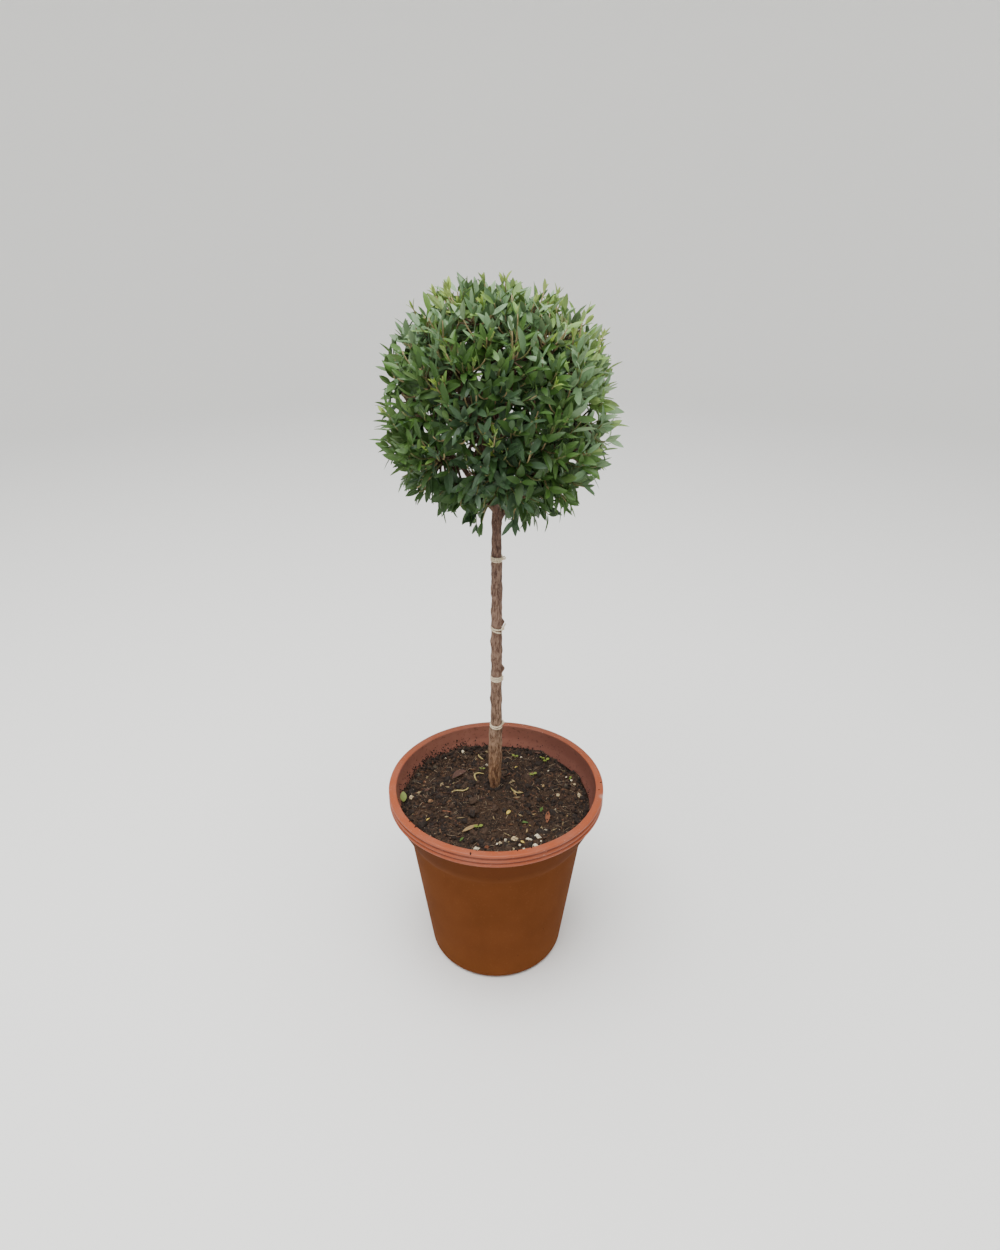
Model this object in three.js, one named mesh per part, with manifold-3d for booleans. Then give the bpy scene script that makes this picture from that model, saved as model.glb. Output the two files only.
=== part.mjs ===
// A standard, or lollipop, topiary: a clipped ball of small opposite leaves on a bare stem,
// planted in a moulded pot with a flared rim. Millimetres, +Z up, and the viewer stands at -Y.
// The origin is the middle of the pot's flat underside.
import * as THREE from "three";
import { mergeVertices } from "three/addons/utils/BufferGeometryUtils.js";
import Module from "manifold-3d";

const wasm = await Module();
wasm.setup();

// Driving dimensions of the pot
const rimRadius = 140;
const potHeight = 262;
const baseRadius = 91.4;
const baseRound = 9;
const wall = 2.5;
const floorThickness = 3;
const shoulderRadius = 114.5;
const shoulderHeight = 194;
const shoulderStep = 1.2;
const shoulderRise = 3;
const flareTopRadius = 137.5;
const flarePower = 0.88;
const innerFlareTopRadius = 129;
const innerFlarePower = 1.25;
const flareSteps = 4;
const bandHeight = 18;
const bandInset = 0.4;
const bandSill = 10.4;
const beadHeights = [2.2, 6.6];
const beadSpan = 1.9;
const beadDepth = 1.4;
const edgeRound = 1.8;
const mouthRadius = 129.5;
const potSides = 32;

// Driving dimensions of the compost
const wallGap = 0.45;
const compostFlareShare = 0.75;
const compostRings = [0.86, 0.68, 0.5, 0.33, 0.14];
const groundAtWall = 231;
const groundAtStem = 244;
const flatUnderStem = 17;
const moundReach = 95;
const groundUnevenness = 1.6;

// Driving dimensions of the stem: points on its centre line, and its radius at each height
const touchGap = 0.35;
const stemFoot = groundAtStem + touchGap;
const stemLine = [
  [-0.5, 14, stemFoot],
  [0.6, 14.4, 300],
  [0.3, 14, 350],
  [0.8, 13.4, 440],
  [1.4, 13.8, 520],
  [1.1, 14.3, 590],
  [1.6, 14, 640],
  [0.6, 13.6, 700],
  [1.4, 14, 765],
];
const stemRadii = [
  [256, 7.4],
  [290, 7.6],
  [313, 8.3],
  [334, 6.8],
  [412, 6.5],
  [482, 6.2],
  [573, 5.9],
  [598, 4.9],
  [615, 5.6],
  [633, 4.6],
  [700, 3.7],
  [765, 2.5],
];
const stemSides = 10;
const stemSteps = 26;

// Driving dimensions of the ties of twine round the stem
const cordRadius = 1.15;
const knotRadius = 2.2;
const ties = [
  { name: "tie_top", height: 573, turns: 2, tilt: [0, 2], knotTurn: -18 },
  { name: "tie_upper", height: 482, turns: 2, tilt: [4, 7], knotTurn: -24 },
  { name: "tie_lower", height: 413, turns: 3, tilt: [0, -2], knotTurn: -12 },
  { name: "tie_foot", height: 341, turns: 2, tilt: [9, -3], knotTurn: 4 },
];
const tieSides = 12;
const tieSlack = 0.2;

// Driving dimensions of the crown: two tiers of masses round the stem, and one on top of it
const crownCentre = new THREE.Vector3(1.3, 14, 749);
const massesInTier = 4;
const tiers = {
  low: {
    firstTurn: 22,
    massSeed: { reach: 68, rise: -40 },
    boughEnd: { reach: 36, rise: -70 },
    forkFrom: 614,
    forkStep: 7,
    boughRadii: [3.6, 2.8],
  },
  high: {
    firstTurn: 67,
    massSeed: { reach: 62, rise: 32 },
    boughEnd: { reach: 27, rise: -14 },
    forkFrom: 662,
    forkStep: 8,
    boughRadii: [3.2, 2.6],
  },
};
const topSeedRise = 68;
const boughSag = 5;
const boughSides = 5;
const boughSteps = 3;

// Driving dimensions of the foliage
const foliageSeed = 23;
const massStemEndRadius = 2;
const coreReach = 40;
const coreBallRadius = 82;
const coreGap = 2.5;
const coreUnevenness = 3;
const shootCount = 112;
const lowestShoot = -0.96;
const shootReach = 105;
const shootUnevenness = 0.1;
const shootSag = [4.5, 13.5];
const shootStarts = [0.3, 0.9];
const shootRadii = [1.4, 1];
const leafNodes = [0.3, 0.64, 0.95];
const leafAngles = [70, 60, 38];
const leafLength = 36;
const leafWidth = 14;
const leafWidest = 0.46;
const leafThickness = 0.9;
const leafDroop = 3;
const leafSink = 0.3;
const pairStagger = 1.6;
const cellGap = 0.6;
const limbClearance = 0.9;

// The vertices of a cut or joined piece lie on this grid.
const grid = 0.005;

const degrees = THREE.MathUtils.degToRad;
const goldenAngle = Math.PI * (3 - Math.sqrt(5));
const up = new THREE.Vector3(0, 0, 1);

// A seeded stream of numbers from 0 to 1, the same on every run.
function seededStream(start) {
  let state = start;
  return () => {
    state = (state + 0x6d2b79f5) >>> 0;
    let mixed = Math.imul(state ^ (state >>> 15), state | 1);
    mixed = (mixed + Math.imul(mixed ^ (mixed >>> 7), mixed | 61)) ^ mixed;
    return ((mixed ^ (mixed >>> 14)) >>> 0) / 2 ** 32;
  };
}

function between([low, high], share) {
  return low + (high - low) * share;
}

// A closed mesh, its shared vertices merged, as a solid that can be joined and cut.
function solidOf(geometry) {
  const bare = geometry.clone();
  bare.deleteAttribute("normal");
  bare.deleteAttribute("uv");
  const merged = mergeVertices(bare, 1e-4);
  const mesh = new wasm.Mesh({
    numProp: 3,
    vertProperties: merged.attributes.position.array,
    triVerts: new Uint32Array(merged.index.array),
  });
  return new wasm.Manifold(mesh);
}

// The largest body of a solid, as geometry with its vertices on the grid. Vertices that fall
// together become one, and the triangles between them go. Loose scraps are dropped.
function geometryOf(solid) {
  const bodies = solid.decompose().sort((a, b) => b.volume() - a.volume());
  const mesh = bodies[0].getMesh();
  const numbers = new Map();
  const places = [];
  const numberOf = Array.from({ length: mesh.numVert }, (unused, i) => {
    const steps = [0, 1, 2].map((axis) => Math.round(mesh.vertProperties[i * mesh.numProp + axis] / grid));
    const key = steps.join(" ");
    if (!numbers.has(key)) {
      numbers.set(key, numbers.size);
      places.push(...steps.map((value) => value * grid));
    }
    return numbers.get(key);
  });
  const index = [];
  for (let i = 0; i < mesh.triVerts.length; i += 3) {
    const corners = [0, 1, 2].map((corner) => numberOf[mesh.triVerts[i + corner]]);
    if (new Set(corners).size === 3) index.push(...corners);
  }
  const geometry = new THREE.BufferGeometry();
  geometry.setAttribute("position", new THREE.Float32BufferAttribute(places, 3));
  geometry.setIndex(index);
  geometry.computeVertexNormals();
  return geometry;
}

// Whether each edge belongs to just two triangles, which run along it in opposite ways.
function isClosed(geometry) {
  const index = geometry.index.array;
  const edges = new Set();
  for (let i = 0; i < index.length; i++) {
    const next = i % 3 === 2 ? i - 2 : i + 1;
    const edge = `${index[i]} ${index[next]}`;
    if (edges.has(edge)) return false;
    edges.add(edge);
  }
  return [...edges].every((edge) => edges.has(edge.split(" ").reverse().join(" ")));
}

// Whether two solids cross, tried on their boxes first.
function crosses(one, other) {
  const a = one.boundingBox();
  const b = other.boundingBox();
  const apart = [0, 1, 2].some((axis) => a.min[axis] > b.max[axis] || b.min[axis] > a.max[axis]);
  return !apart && !one.intersect(other).isEmpty();
}

function vertices(geometry) {
  const places = geometry.attributes.position;
  return Array.from({ length: places.count }, (unused, i) => new THREE.Vector3().fromBufferAttribute(places, i));
}

function moveVertices(geometry, placeOf) {
  vertices(geometry).forEach((point, i) => geometry.attributes.position.setXYZ(i, ...placeOf(point)));
  return geometry;
}

// A profile of [radius, height] points turned about the Z axis.
function turned(points, sides) {
  const profile = points.map(([radius, height]) => new THREE.Vector2(radius, height));
  return new THREE.LatheGeometry(profile, sides).rotateX(Math.PI / 2);
}

// A limb: a closed cylinder bent along a curve, with its radius read at each point.
function limb(curve, radiusAt, sides, steps) {
  const frames = curve.computeFrenetFrames(steps);
  return moveVertices(new THREE.CylinderGeometry(1, 1, 1, sides, steps), ({ x, y, z }) => {
    const step = Math.round((y + 0.5) * steps);
    const centre = curve.getPointAt(step / steps);
    const radius = radiusAt(step / steps, centre);
    return centre
      .clone()
      .addScaledVector(frames.binormals[step], x * radius)
      .addScaledVector(frames.normals[step], z * radius);
  });
}

function taper(radii, extra = 0) {
  return (share) => between(radii, share) + extra;
}

// A flare sweeps out from the shoulder to the foot of the rim band, and may stop at a share of its rise.
function flare(foot, top, power, share = 1) {
  const lowest = shoulderHeight + shoulderRise;
  return Array.from({ length: flareSteps + 1 }, (unused, i) => {
    const t = (share * i) / flareSteps;
    return [between([foot, top], t ** power), between([lowest, potHeight - bandHeight], t)];
  });
}

// The inner wall flares less than the outer one, and a gap can be left between it and the compost.
function innerFlare(gap, share) {
  const foot = shoulderRadius + shoulderStep - wall - gap;
  return flare(foot, innerFlareTopRadius - gap, innerFlarePower, share);
}

// The band runs round the mouth, with two beads low on its outer face.
function potProfile() {
  const bandFoot = potHeight - bandHeight;
  const beads = beadHeights.flatMap((rise) => [
    [rimRadius, bandFoot + rise],
    [rimRadius - beadDepth, bandFoot + rise + beadSpan],
  ]);
  return [
    [0, 0],
    [baseRadius - baseRound, 0],
    [baseRadius - baseRound * 0.3, baseRound * 0.3],
    [baseRadius, baseRound],
    [shoulderRadius, shoulderHeight],
    ...flare(shoulderRadius + shoulderStep, flareTopRadius, flarePower),
    [rimRadius - beadDepth, bandFoot],
    ...beads,
    [rimRadius - bandInset, bandFoot + bandSill],
    [rimRadius - bandInset, potHeight - edgeRound],
    [rimRadius - edgeRound, potHeight],
    [mouthRadius, potHeight],
    ...innerFlare(0).reverse(),
    [shoulderRadius - wall, shoulderHeight],
    [baseRadius - wall, baseRound],
    [baseRadius - baseRound, floorThickness],
    [0, floorThickness],
  ];
}

// The compost lies in a low mound round the foot of the stem, and flat under the stem itself.
function groundHeight(x, y) {
  const [footX, footY] = stemLine[0];
  const fall = THREE.MathUtils.smoothstep(Math.hypot(x - footX, y - footY), flatUnderStem, moundReach);
  const waves = Math.sin(x * 0.11 + 1.3) * Math.cos(y * 0.13 - 0.6) + Math.sin(x * 0.047 - y * 0.071);
  const height = between([groundAtStem, groundAtWall], fall) - groundUnevenness * fall * (1 - waves);
  return Math.min(height, groundAtStem);
}

function compostGeometry() {
  const inset = wall + wallGap;
  const side = innerFlare(wallGap, compostFlareShare);
  const edge = side[flareSteps][0];
  const profile = [
    [0, floorThickness + wallGap],
    [baseRadius - baseRound - wallGap, floorThickness + wallGap],
    [baseRadius - inset, baseRound + wallGap],
    [shoulderRadius - inset, shoulderHeight],
    ...side,
    ...compostRings.map((share) => [edge * share, potHeight]),
    [0, potHeight],
  ];
  return moveVertices(turned(profile, potSides), ({ x, y, z }) => [x, y, z === potHeight ? groundHeight(x, y) : z]);
}

// The radius of the stem at a height, straight between the rows of its table.
function stemRadius(height) {
  const row = stemRadii.findIndex(([level]) => level > height);
  if (row === 0) return stemRadii[0][1];
  if (row === -1) return stemRadii[stemRadii.length - 1][1];
  const [lowLevel, lowRadius] = stemRadii[row - 1];
  const [highLevel, highRadius] = stemRadii[row];
  return between([lowRadius, highRadius], (height - lowLevel) / (highLevel - lowLevel));
}

const stemCurve = new THREE.CatmullRomCurve3(stemLine.map((point) => new THREE.Vector3(...point)));

function stemGeometry(extra = 0) {
  const stem = limb(stemCurve, (share, centre) => stemRadius(centre.z) + extra, stemSides, stemSteps);
  return moveVertices(stem, ({ x, y, z }) => [x, y, z < stemFoot + 1 ? stemFoot : z]);
}

// The point on the stem's centre line at a height, found by halving.
function stemPoint(height) {
  let low = 0;
  let high = 1;
  while (high - low > 1e-6) {
    const middle = (low + high) / 2;
    if (stemCurve.getPointAt(middle).z < height) low = middle;
    else high = middle;
  }
  return stemCurve.getPointAt(low);
}

// A tie: turns of twine wound side by side round the stem, and a knot of the same twine.
function tieSolid({ height, turns, tilt, knotTurn }) {
  const squeeze = Math.cos(Math.PI / tieSides) * Math.cos(degrees(Math.max(...tilt.map(Math.abs))));
  const inner = (stemRadius(height) + touchGap) / squeeze + tieSlack;
  const outer = inner + 2 * cordRadius;
  const foot = -turns * cordRadius;
  const profile = [[inner, foot]];
  for (let turn = 0; turn < turns; turn++) {
    const middle = foot + (2 * turn + 1) * cordRadius;
    profile.push([outer, middle - cordRadius * 0.4]);
    profile.push([outer, middle + cordRadius * 0.4]);
    profile.push([outer - cordRadius * 0.6, middle + cordRadius]);
  }
  profile.push([inner, -foot], [inner, foot]);
  const knot = new THREE.IcosahedronGeometry(knotRadius, 0).translate(outer + knotRadius / 4, 0, knotRadius / 3);
  const whole = solidOf(turned(profile, tieSides)).add(solidOf(knot.rotateZ(degrees(knotTurn))));
  return whole.rotate([...tilt, 0]).translate(stemPoint(height).toArray());
}

function aroundCrown(turn, { reach, rise }) {
  const angle = degrees(turn);
  return new THREE.Vector3(reach * Math.cos(angle), reach * Math.sin(angle), rise).add(crownCentre);
}

function boughCurve(fork, end) {
  const middle = fork.clone().lerp(end, 0.5).addScaledVector(up, -boughSag);
  return new THREE.QuadraticBezierCurve3(fork, middle, end);
}

// The stem inside a mass goes on in line with the limb that carries it, and ends at the mass's seed.
function massStemCurve(carrier, massSeed) {
  const along = carrier.getTangentAt(1);
  const root = carrier.getPointAt(1).addScaledVector(along, touchGap);
  const middle = root.clone().addScaledVector(along, root.distanceTo(massSeed) / 2);
  return new THREE.QuadraticBezierCurve3(root, middle, massSeed);
}

// Each mass has a seed, which its space lies round, and is carried by a bough or by the stem's tip.
function crownPlan() {
  const masses = [];
  for (const [label, tier] of Object.entries(tiers)) {
    for (let i = 0; i < massesInTier; i++) {
      const turn = tier.firstTurn + (360 / massesInTier) * i;
      const bough = boughCurve(stemPoint(tier.forkFrom + tier.forkStep * i), aroundCrown(turn, tier.boughEnd));
      masses.push({ name: `${label}_${i + 1}`, seed: aroundCrown(turn, tier.massSeed), bough, radii: tier.boughRadii });
    }
  }
  masses.push({ name: "top", seed: crownCentre.clone().addScaledVector(up, topSeedRise) });
  for (const mass of masses) {
    mass.stem = massStemCurve(mass.bough ?? stemCurve, mass.seed);
    mass.rootRadius = mass.bough ? mass.radii[1] : stemRadius(stemCurve.getPointAt(1).z);
  }
  return masses;
}

// How far a point lies inside the space of a mass, measured to the nearest side of that space.
function depthInSpace(masses, mass, point) {
  const depths = masses.map(({ seed }) => {
    const nearer = point.distanceToSquared(seed) - point.distanceToSquared(mass.seed);
    return seed === mass.seed ? Infinity : nearer / (2 * seed.distanceTo(mass.seed));
  });
  return Math.min(...depths);
}

// Shoots aim at evenly spread places on the ball, and start along the stem of the nearest mass.
function growShoots(masses) {
  const random = seededStream(foliageSeed);
  return Array.from({ length: shootCount }, (unused, i) => {
    const height = between([1, lowestShoot], (i + 0.5) / shootCount);
    const across = Math.sqrt(1 - height ** 2);
    const aim = new THREE.Vector3(across * Math.cos(i * goldenAngle), across * Math.sin(i * goldenAngle), height);
    const reach = shootReach * (1 + shootUnevenness * (random() - 0.5));
    const tip = crownCentre.clone().addScaledVector(aim, reach);
    const mass = masses.find((each) => depthInSpace(masses, each, tip) >= 0);
    const start = mass.stem.getPointAt(between(shootStarts, random()));
    const middle = start.clone().lerp(tip, 0.5).addScaledVector(up, -between(shootSag, random()));
    return { mass, curve: new THREE.QuadraticBezierCurve3(start, middle, tip), turn: random() * Math.PI };
  });
}

// A leaf of eight faces: widest below its middle, with a drooping tip, and thickest at its midrib.
function leafGeometry(base, along, across) {
  const face = new THREE.Vector3().crossVectors(along, across).normalize();
  return moveVertices(new THREE.OctahedronGeometry(1), ({ x, y, z }) => {
    const end = Math.round(x);
    const length = end === 0 ? leafWidest * leafLength : ((end + 1) / 2) * leafLength;
    return base
      .clone()
      .addScaledVector(along, length)
      .addScaledVector(across, (y * leafWidth) / 2)
      .addScaledVector(face, (z * leafThickness) / 2 - (end === 1 ? leafDroop : 0));
  });
}

// Leaves stand in pairs along the outer half of a shoot, each pair a quarter turn from the last.
function shootLeaves({ curve, turn }) {
  const knee = curve.getPointAt(0.5);
  const tip = curve.getPointAt(1);
  const along = tip.clone().sub(knee).normalize();
  const side = new THREE.Vector3().crossVectors(along, up).normalize();
  const back = new THREE.Vector3().crossVectors(side, along).normalize();
  const leaves = [];
  leafNodes.forEach((share, node) => {
    const open = degrees(leafAngles[node]);
    for (const half of [-0.5, 0.5]) {
      const angle = turn + (node / 2 + half) * Math.PI;
      const out = side.clone().multiplyScalar(Math.cos(angle)).addScaledVector(back, Math.sin(angle));
      const direction = along.clone().multiplyScalar(Math.cos(open)).addScaledVector(out, Math.sin(open));
      const across = new THREE.Vector3().crossVectors(along, direction).normalize();
      const base = knee
        .clone()
        .lerp(tip, share)
        .addScaledVector(along, half * pairStagger)
        .addScaledVector(direction, -leafSink);
      leaves.push(leafGeometry(base, direction, across));
    }
  });
  return leaves;
}

// How far a core reaches from its seed in one direction: to the side of its space, to the ball
// that all the cores are trimmed to, or to its full reach, whichever comes first.
function coreExtent(masses, mass, way) {
  const offset = mass.seed.clone().sub(crownCentre);
  const along = offset.dot(way);
  let extent = Math.sqrt(along ** 2 - offset.lengthSq() + coreBallRadius ** 2) - along;
  for (const { seed } of masses) {
    const toward = seed.clone().sub(mass.seed);
    const facing = toward.dot(way) / Math.max(toward.length(), 1);
    if (facing > 0) extent = Math.min(extent, (toward.length() / 2 - coreGap) / facing);
  }
  return Math.min(extent, coreReach);
}

// The core of a clipped mass: an uneven lump for the close twigs and leaves inside it.
function coreGeometry(masses, mass) {
  return moveVertices(new THREE.IcosahedronGeometry(1, 1), (point) => {
    const way = point.clone().normalize();
    const wave = Math.sin(5 * way.x + mass.seed.x) * Math.cos(4 * way.y + 3 * way.z + mass.seed.y);
    const extent = coreExtent(masses, mass, way) - (coreUnevenness * (1 + wave)) / 2;
    return way.multiplyScalar(extent).add(mass.seed);
  });
}

// One mass: its stem and core, its shoots and their leaves, fused. A shoot or a leaf that would
// leave the space of the mass or meet a limb is skipped, and so is a leaf that would cross others.
function massSolid(masses, mass, shoots, limbs) {
  const stem = limb(mass.stem, taper([mass.rootRadius, massStemEndRadius]), boughSides, boughSteps);
  let whole = solidOf(stem).add(solidOf(coreGeometry(masses, mass))).subtract(limbs);
  const keepsToSpace = (geometry) =>
    vertices(geometry).every((point) => depthInSpace(masses, mass, point) > cellGap) &&
    !crosses(solidOf(geometry), limbs);
  const fuse = (solid) => {
    const grown = whole.add(solid);
    if (!isClosed(geometryOf(grown))) return false;
    whole = grown;
    return true;
  };
  const placed = [];
  for (const shoot of shoots.filter((each) => each.mass === mass)) {
    const twig = limb(shoot.curve, taper(shootRadii), 3, 2);
    if (!keepsToSpace(twig) || !fuse(solidOf(twig))) continue;
    const leaves = shootLeaves(shoot).filter(keepsToSpace).map(solidOf);
    const free = leaves.filter((leaf) => !placed.some((other) => crosses(leaf, other)));
    placed.push(solidOf(twig), ...free.filter(fuse));
  }
  return whole;
}

const finishes = {
  pot: { color: "#9c5634", roughness: 0.55, metalness: 0 },
  compost: { color: "#2e241c", roughness: 0.95, metalness: 0 },
  bark: { color: "#7d6350", roughness: 0.9, metalness: 0 },
  youngBark: { color: "#5a3a2a", roughness: 0.8, metalness: 0 },
  twine: { color: "#c9b79b", roughness: 0.85, metalness: 0 },
  leaf: { color: "#33562a", roughness: 0.5, metalness: 0 },
};

const topiary = new THREE.Group();

function addPiece(name, geometry, finish) {
  const mesh = new THREE.Mesh(geometry, new THREE.MeshStandardMaterial(finishes[finish]));
  mesh.name = name;
  topiary.add(mesh);
}

addPiece("pot", turned(potProfile(), potSides), "pot");
addPiece("compost", compostGeometry(), "compost");
addPiece("trunk", stemGeometry(), "bark");
for (const tie of ties) addPiece(tie.name, geometryOf(tieSolid(tie)), "twine");

const masses = crownPlan();
const stemWithGap = solidOf(stemGeometry(touchGap));
let limbs = solidOf(stemGeometry(limbClearance));
for (const { name, bough, radii } of masses.filter((mass) => mass.bough)) {
  const solid = solidOf(limb(bough, taper(radii), boughSides, boughSteps)).subtract(stemWithGap);
  addPiece(`bough_${name}`, geometryOf(solid), "youngBark");
  limbs = limbs.add(solidOf(limb(bough, taper(radii, limbClearance), boughSides, boughSteps)));
}

const shoots = growShoots(masses);
for (const mass of masses) {
  addPiece(`foliage_${mass.name}`, geometryOf(massSolid(masses, mass, shoots, limbs)), "leaf");
}

export default topiary;
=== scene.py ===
# A potted standard topiary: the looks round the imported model. Metres, +Z up, seen from -Y.
import math
import bpy
import numpy as np
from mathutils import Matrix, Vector, noise


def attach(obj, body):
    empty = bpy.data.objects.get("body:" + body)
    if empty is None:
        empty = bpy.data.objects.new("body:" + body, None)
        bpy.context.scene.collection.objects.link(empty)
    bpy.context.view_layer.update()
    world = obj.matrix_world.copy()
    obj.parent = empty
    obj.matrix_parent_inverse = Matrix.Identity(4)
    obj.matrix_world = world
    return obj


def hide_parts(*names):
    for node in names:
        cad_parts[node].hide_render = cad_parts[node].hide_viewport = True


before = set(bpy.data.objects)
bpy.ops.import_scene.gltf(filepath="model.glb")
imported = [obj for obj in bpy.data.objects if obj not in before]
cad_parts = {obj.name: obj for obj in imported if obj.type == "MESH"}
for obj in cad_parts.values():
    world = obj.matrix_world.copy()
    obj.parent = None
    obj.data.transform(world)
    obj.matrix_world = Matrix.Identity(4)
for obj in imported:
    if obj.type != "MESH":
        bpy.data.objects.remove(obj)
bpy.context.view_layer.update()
up = np.array([0.0, 0.0, 1.0])
fullTurn = 2 * math.pi


def linearColour(hexColour):
    channels = [int(hexColour[i:i + 2], 16) / 255 for i in (1, 3, 5)]
    return [c / 12.92 if c <= 0.04045 else ((c + 0.055) / 1.055) ** 2.4 for c in channels] + [1.0]


# Adds a node with its settings and links, and gives its first output or the one asked for.
def addNode(tree, kind, values={}, links={}, stops=(), output=0, **settings):
    node = tree.nodes.new(kind)
    for name, value in settings.items():
        setattr(node, name, value)
    for socket, value in values.items():
        node.inputs[socket].default_value = value
    for socket, source in links.items():
        tree.links.new(source, node.inputs[socket])
    for i, (place, colour) in enumerate(stops):  # of a colour ramp, which starts with two stops
        stop = node.color_ramp.elements[i] if i < 2 else node.color_ramp.elements.new(place)
        stop.position = place
        stop.color = linearColour(colour)
    return node.outputs[output]


def newMaterial(name, roughness, ior, specular=0.5):
    material = bpy.data.materials.new(name)
    material.use_nodes = True
    tree = material.node_tree
    for socket, value in {"Roughness": roughness, "IOR": ior, "Specular IOR Level": specular}.items():
        tree.nodes["Principled BSDF"].inputs[socket].default_value = value
    return material, tree, addNode(tree, "ShaderNodeTexCoord", output="Object")


# Further colours over the first, in turn, each where its pattern passes from one level to another.
def layColours(tree, colour, *layers):
    for second, pattern, low, high, most in layers:
        levels = {"From Min": low, "From Max": high, "To Max": most}
        links = {"Fac": addNode(tree, "ShaderNodeMapRange", levels, {"Value": pattern}), "Color1": colour}
        values = {}
        if isinstance(second, str):
            values["Color2"] = linearColour(second)
        else:
            links["Color2"] = second
        colour = addNode(tree, "ShaderNodeMixRGB", values, links)
    return colour


# Gives the material its colour and the relief of a pattern's value.
def cover(material, colour, relief=None, strength=0.0, depth=0.0):
    tree = material.node_tree
    shader = tree.nodes["Principled BSDF"]
    tree.links.new(colour, shader.inputs["Base Color"])
    if relief:
        normal = addNode(tree, "ShaderNodeBump", {"Strength": strength, "Distance": depth}, {"Height": relief})
        tree.links.new(normal, shader.inputs["Normal"])
    return material


# One colour with a faint unevenness, for small things joined, where a strong pattern would be lost.
def faintlyUneven(name, colour, roughness, ior, grain, spread, specular=0.5):
    material, tree, place = newMaterial(name, roughness, ior, specular)
    tint = addNode(tree, "ShaderNodeTexNoise", {"Scale": 1 / grain, "Detail": 2.0}, {"Vector": place})
    levels = {"From Min": 0.3, "From Max": 0.7, "To Min": 1 - spread, "To Max": 1 + spread}
    value = addNode(tree, "ShaderNodeMapRange", levels, {"Value": tint})
    toned = addNode(tree, "ShaderNodeHueSaturation", {"Color": linearColour(colour)}, {"Value": value})
    return cover(material, toned)


# Pieces are shaped with everything else deselected, and end with their place in their mesh.
def startPiece():
    if bpy.context.object and bpy.context.object.mode != "OBJECT":
        bpy.ops.object.mode_set(mode="OBJECT")
    bpy.ops.object.select_all(action="DESELECT")


def pick(piece):
    startPiece()
    piece.select_set(True)
    bpy.context.view_layer.objects.active = piece


def settle(piece, slot, materials, *nodes):
    pick(piece)
    bpy.ops.object.transform_apply(location=True, rotation=True, scale=True)
    for material in materials:
        piece.data.materials.append(material)
    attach(piece, "root")
    if nodes:
        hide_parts(*nodes)
    return piece


def roundSmooth(piece, angle):
    pick(piece)
    bpy.ops.object.shade_smooth_by_angle(angle=math.radians(angle))


# Opens the piece for editing with just those edges selected whose two ends pass the test.
def selectEdges(piece, test):
    bpy.ops.object.mode_set(mode="EDIT")
    bpy.ops.mesh.select_mode(type="EDGE")
    bpy.ops.mesh.select_all(action="DESELECT")
    bpy.ops.object.mode_set(mode="OBJECT")
    for edge in piece.data.edges:
        edge.select = test(*[piece.data.vertices[i].co for i in edge.vertices])
    bpy.ops.object.mode_set(mode="EDIT")


# A turned body: a round face, extruded and widened ring by ring along its outline.
def turnBody(name, outline, sides):
    startPiece()
    radius, height = outline[0]
    bpy.ops.mesh.primitive_circle_add(vertices=sides, radius=radius, fill_type="NGON", location=(0, 0, height))
    piece = bpy.context.object
    piece.name = piece.data.name = name
    bpy.ops.object.mode_set(mode="EDIT")
    bpy.ops.mesh.select_all(action="SELECT")
    for nextRadius, nextHeight in outline[1:]:
        ratio = nextRadius / radius
        bpy.ops.mesh.extrude_region_move(TRANSFORM_OT_translate={"value": (0, 0, nextHeight - height)})
        bpy.ops.transform.resize(value=(ratio, ratio, 1), center_override=(0, 0, nextHeight))
        radius, height = nextRadius, nextHeight
    bpy.ops.mesh.select_all(action="SELECT")
    bpy.ops.mesh.normals_make_consistent(inside=False)
    bpy.ops.object.mode_set(mode="OBJECT")
    bpy.ops.object.transform_apply(location=True)
    return piece


# The points of an arc in a profile, from one angle to another, in degrees from outwards.
def arc(radius, height, size, start, end, steps):
    angles = [math.radians(start + (end - start) * i / steps) for i in range(steps + 1)]
    return [(radius + size * math.cos(angle), height + size * math.sin(angle)) for angle in angles]


# The camera stands where the photo was taken: a wide view, a little down.
camera = {
    "place": (0.00512, -0.88266, 0.95020),
    "pitchDown": 27.42,
    "lens": 24.249,
    "sensor": 36,
}


def makeCamera():
    bpy.ops.object.camera_add(
        location=camera["place"], rotation=(math.radians(90 - camera["pitchDown"]), 0, 0))
    eye = bpy.context.object
    eye.name = "photoCamera"
    eye.data.lens = camera["lens"]
    eye.data.sensor_width = camera["sensor"]
    eye.data.clip_start = 0.02
    bpy.context.scene.camera = eye


# A pale round sweep all about, a soft sky, and one broad lamp overhead.
studio = {
    "floorRadius": 3.4,
    "innerShare": 0.3,
    "sweepRadius": 1.6,
    "sweepSteps": 12,
    "wallHeight": 4.6,
    "sides": 96,
    "floorColour": "#f6f5f2",
    "skyColour": "#ecf0f3",
    "skyStrength": 0.56,
    "lampSize": 3.2,
    "lampPlace": (-0.3, -0.5, 3.2),
    "lampAim": (0, 0, 0.5),
    "lampWatts": 200,
}


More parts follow.
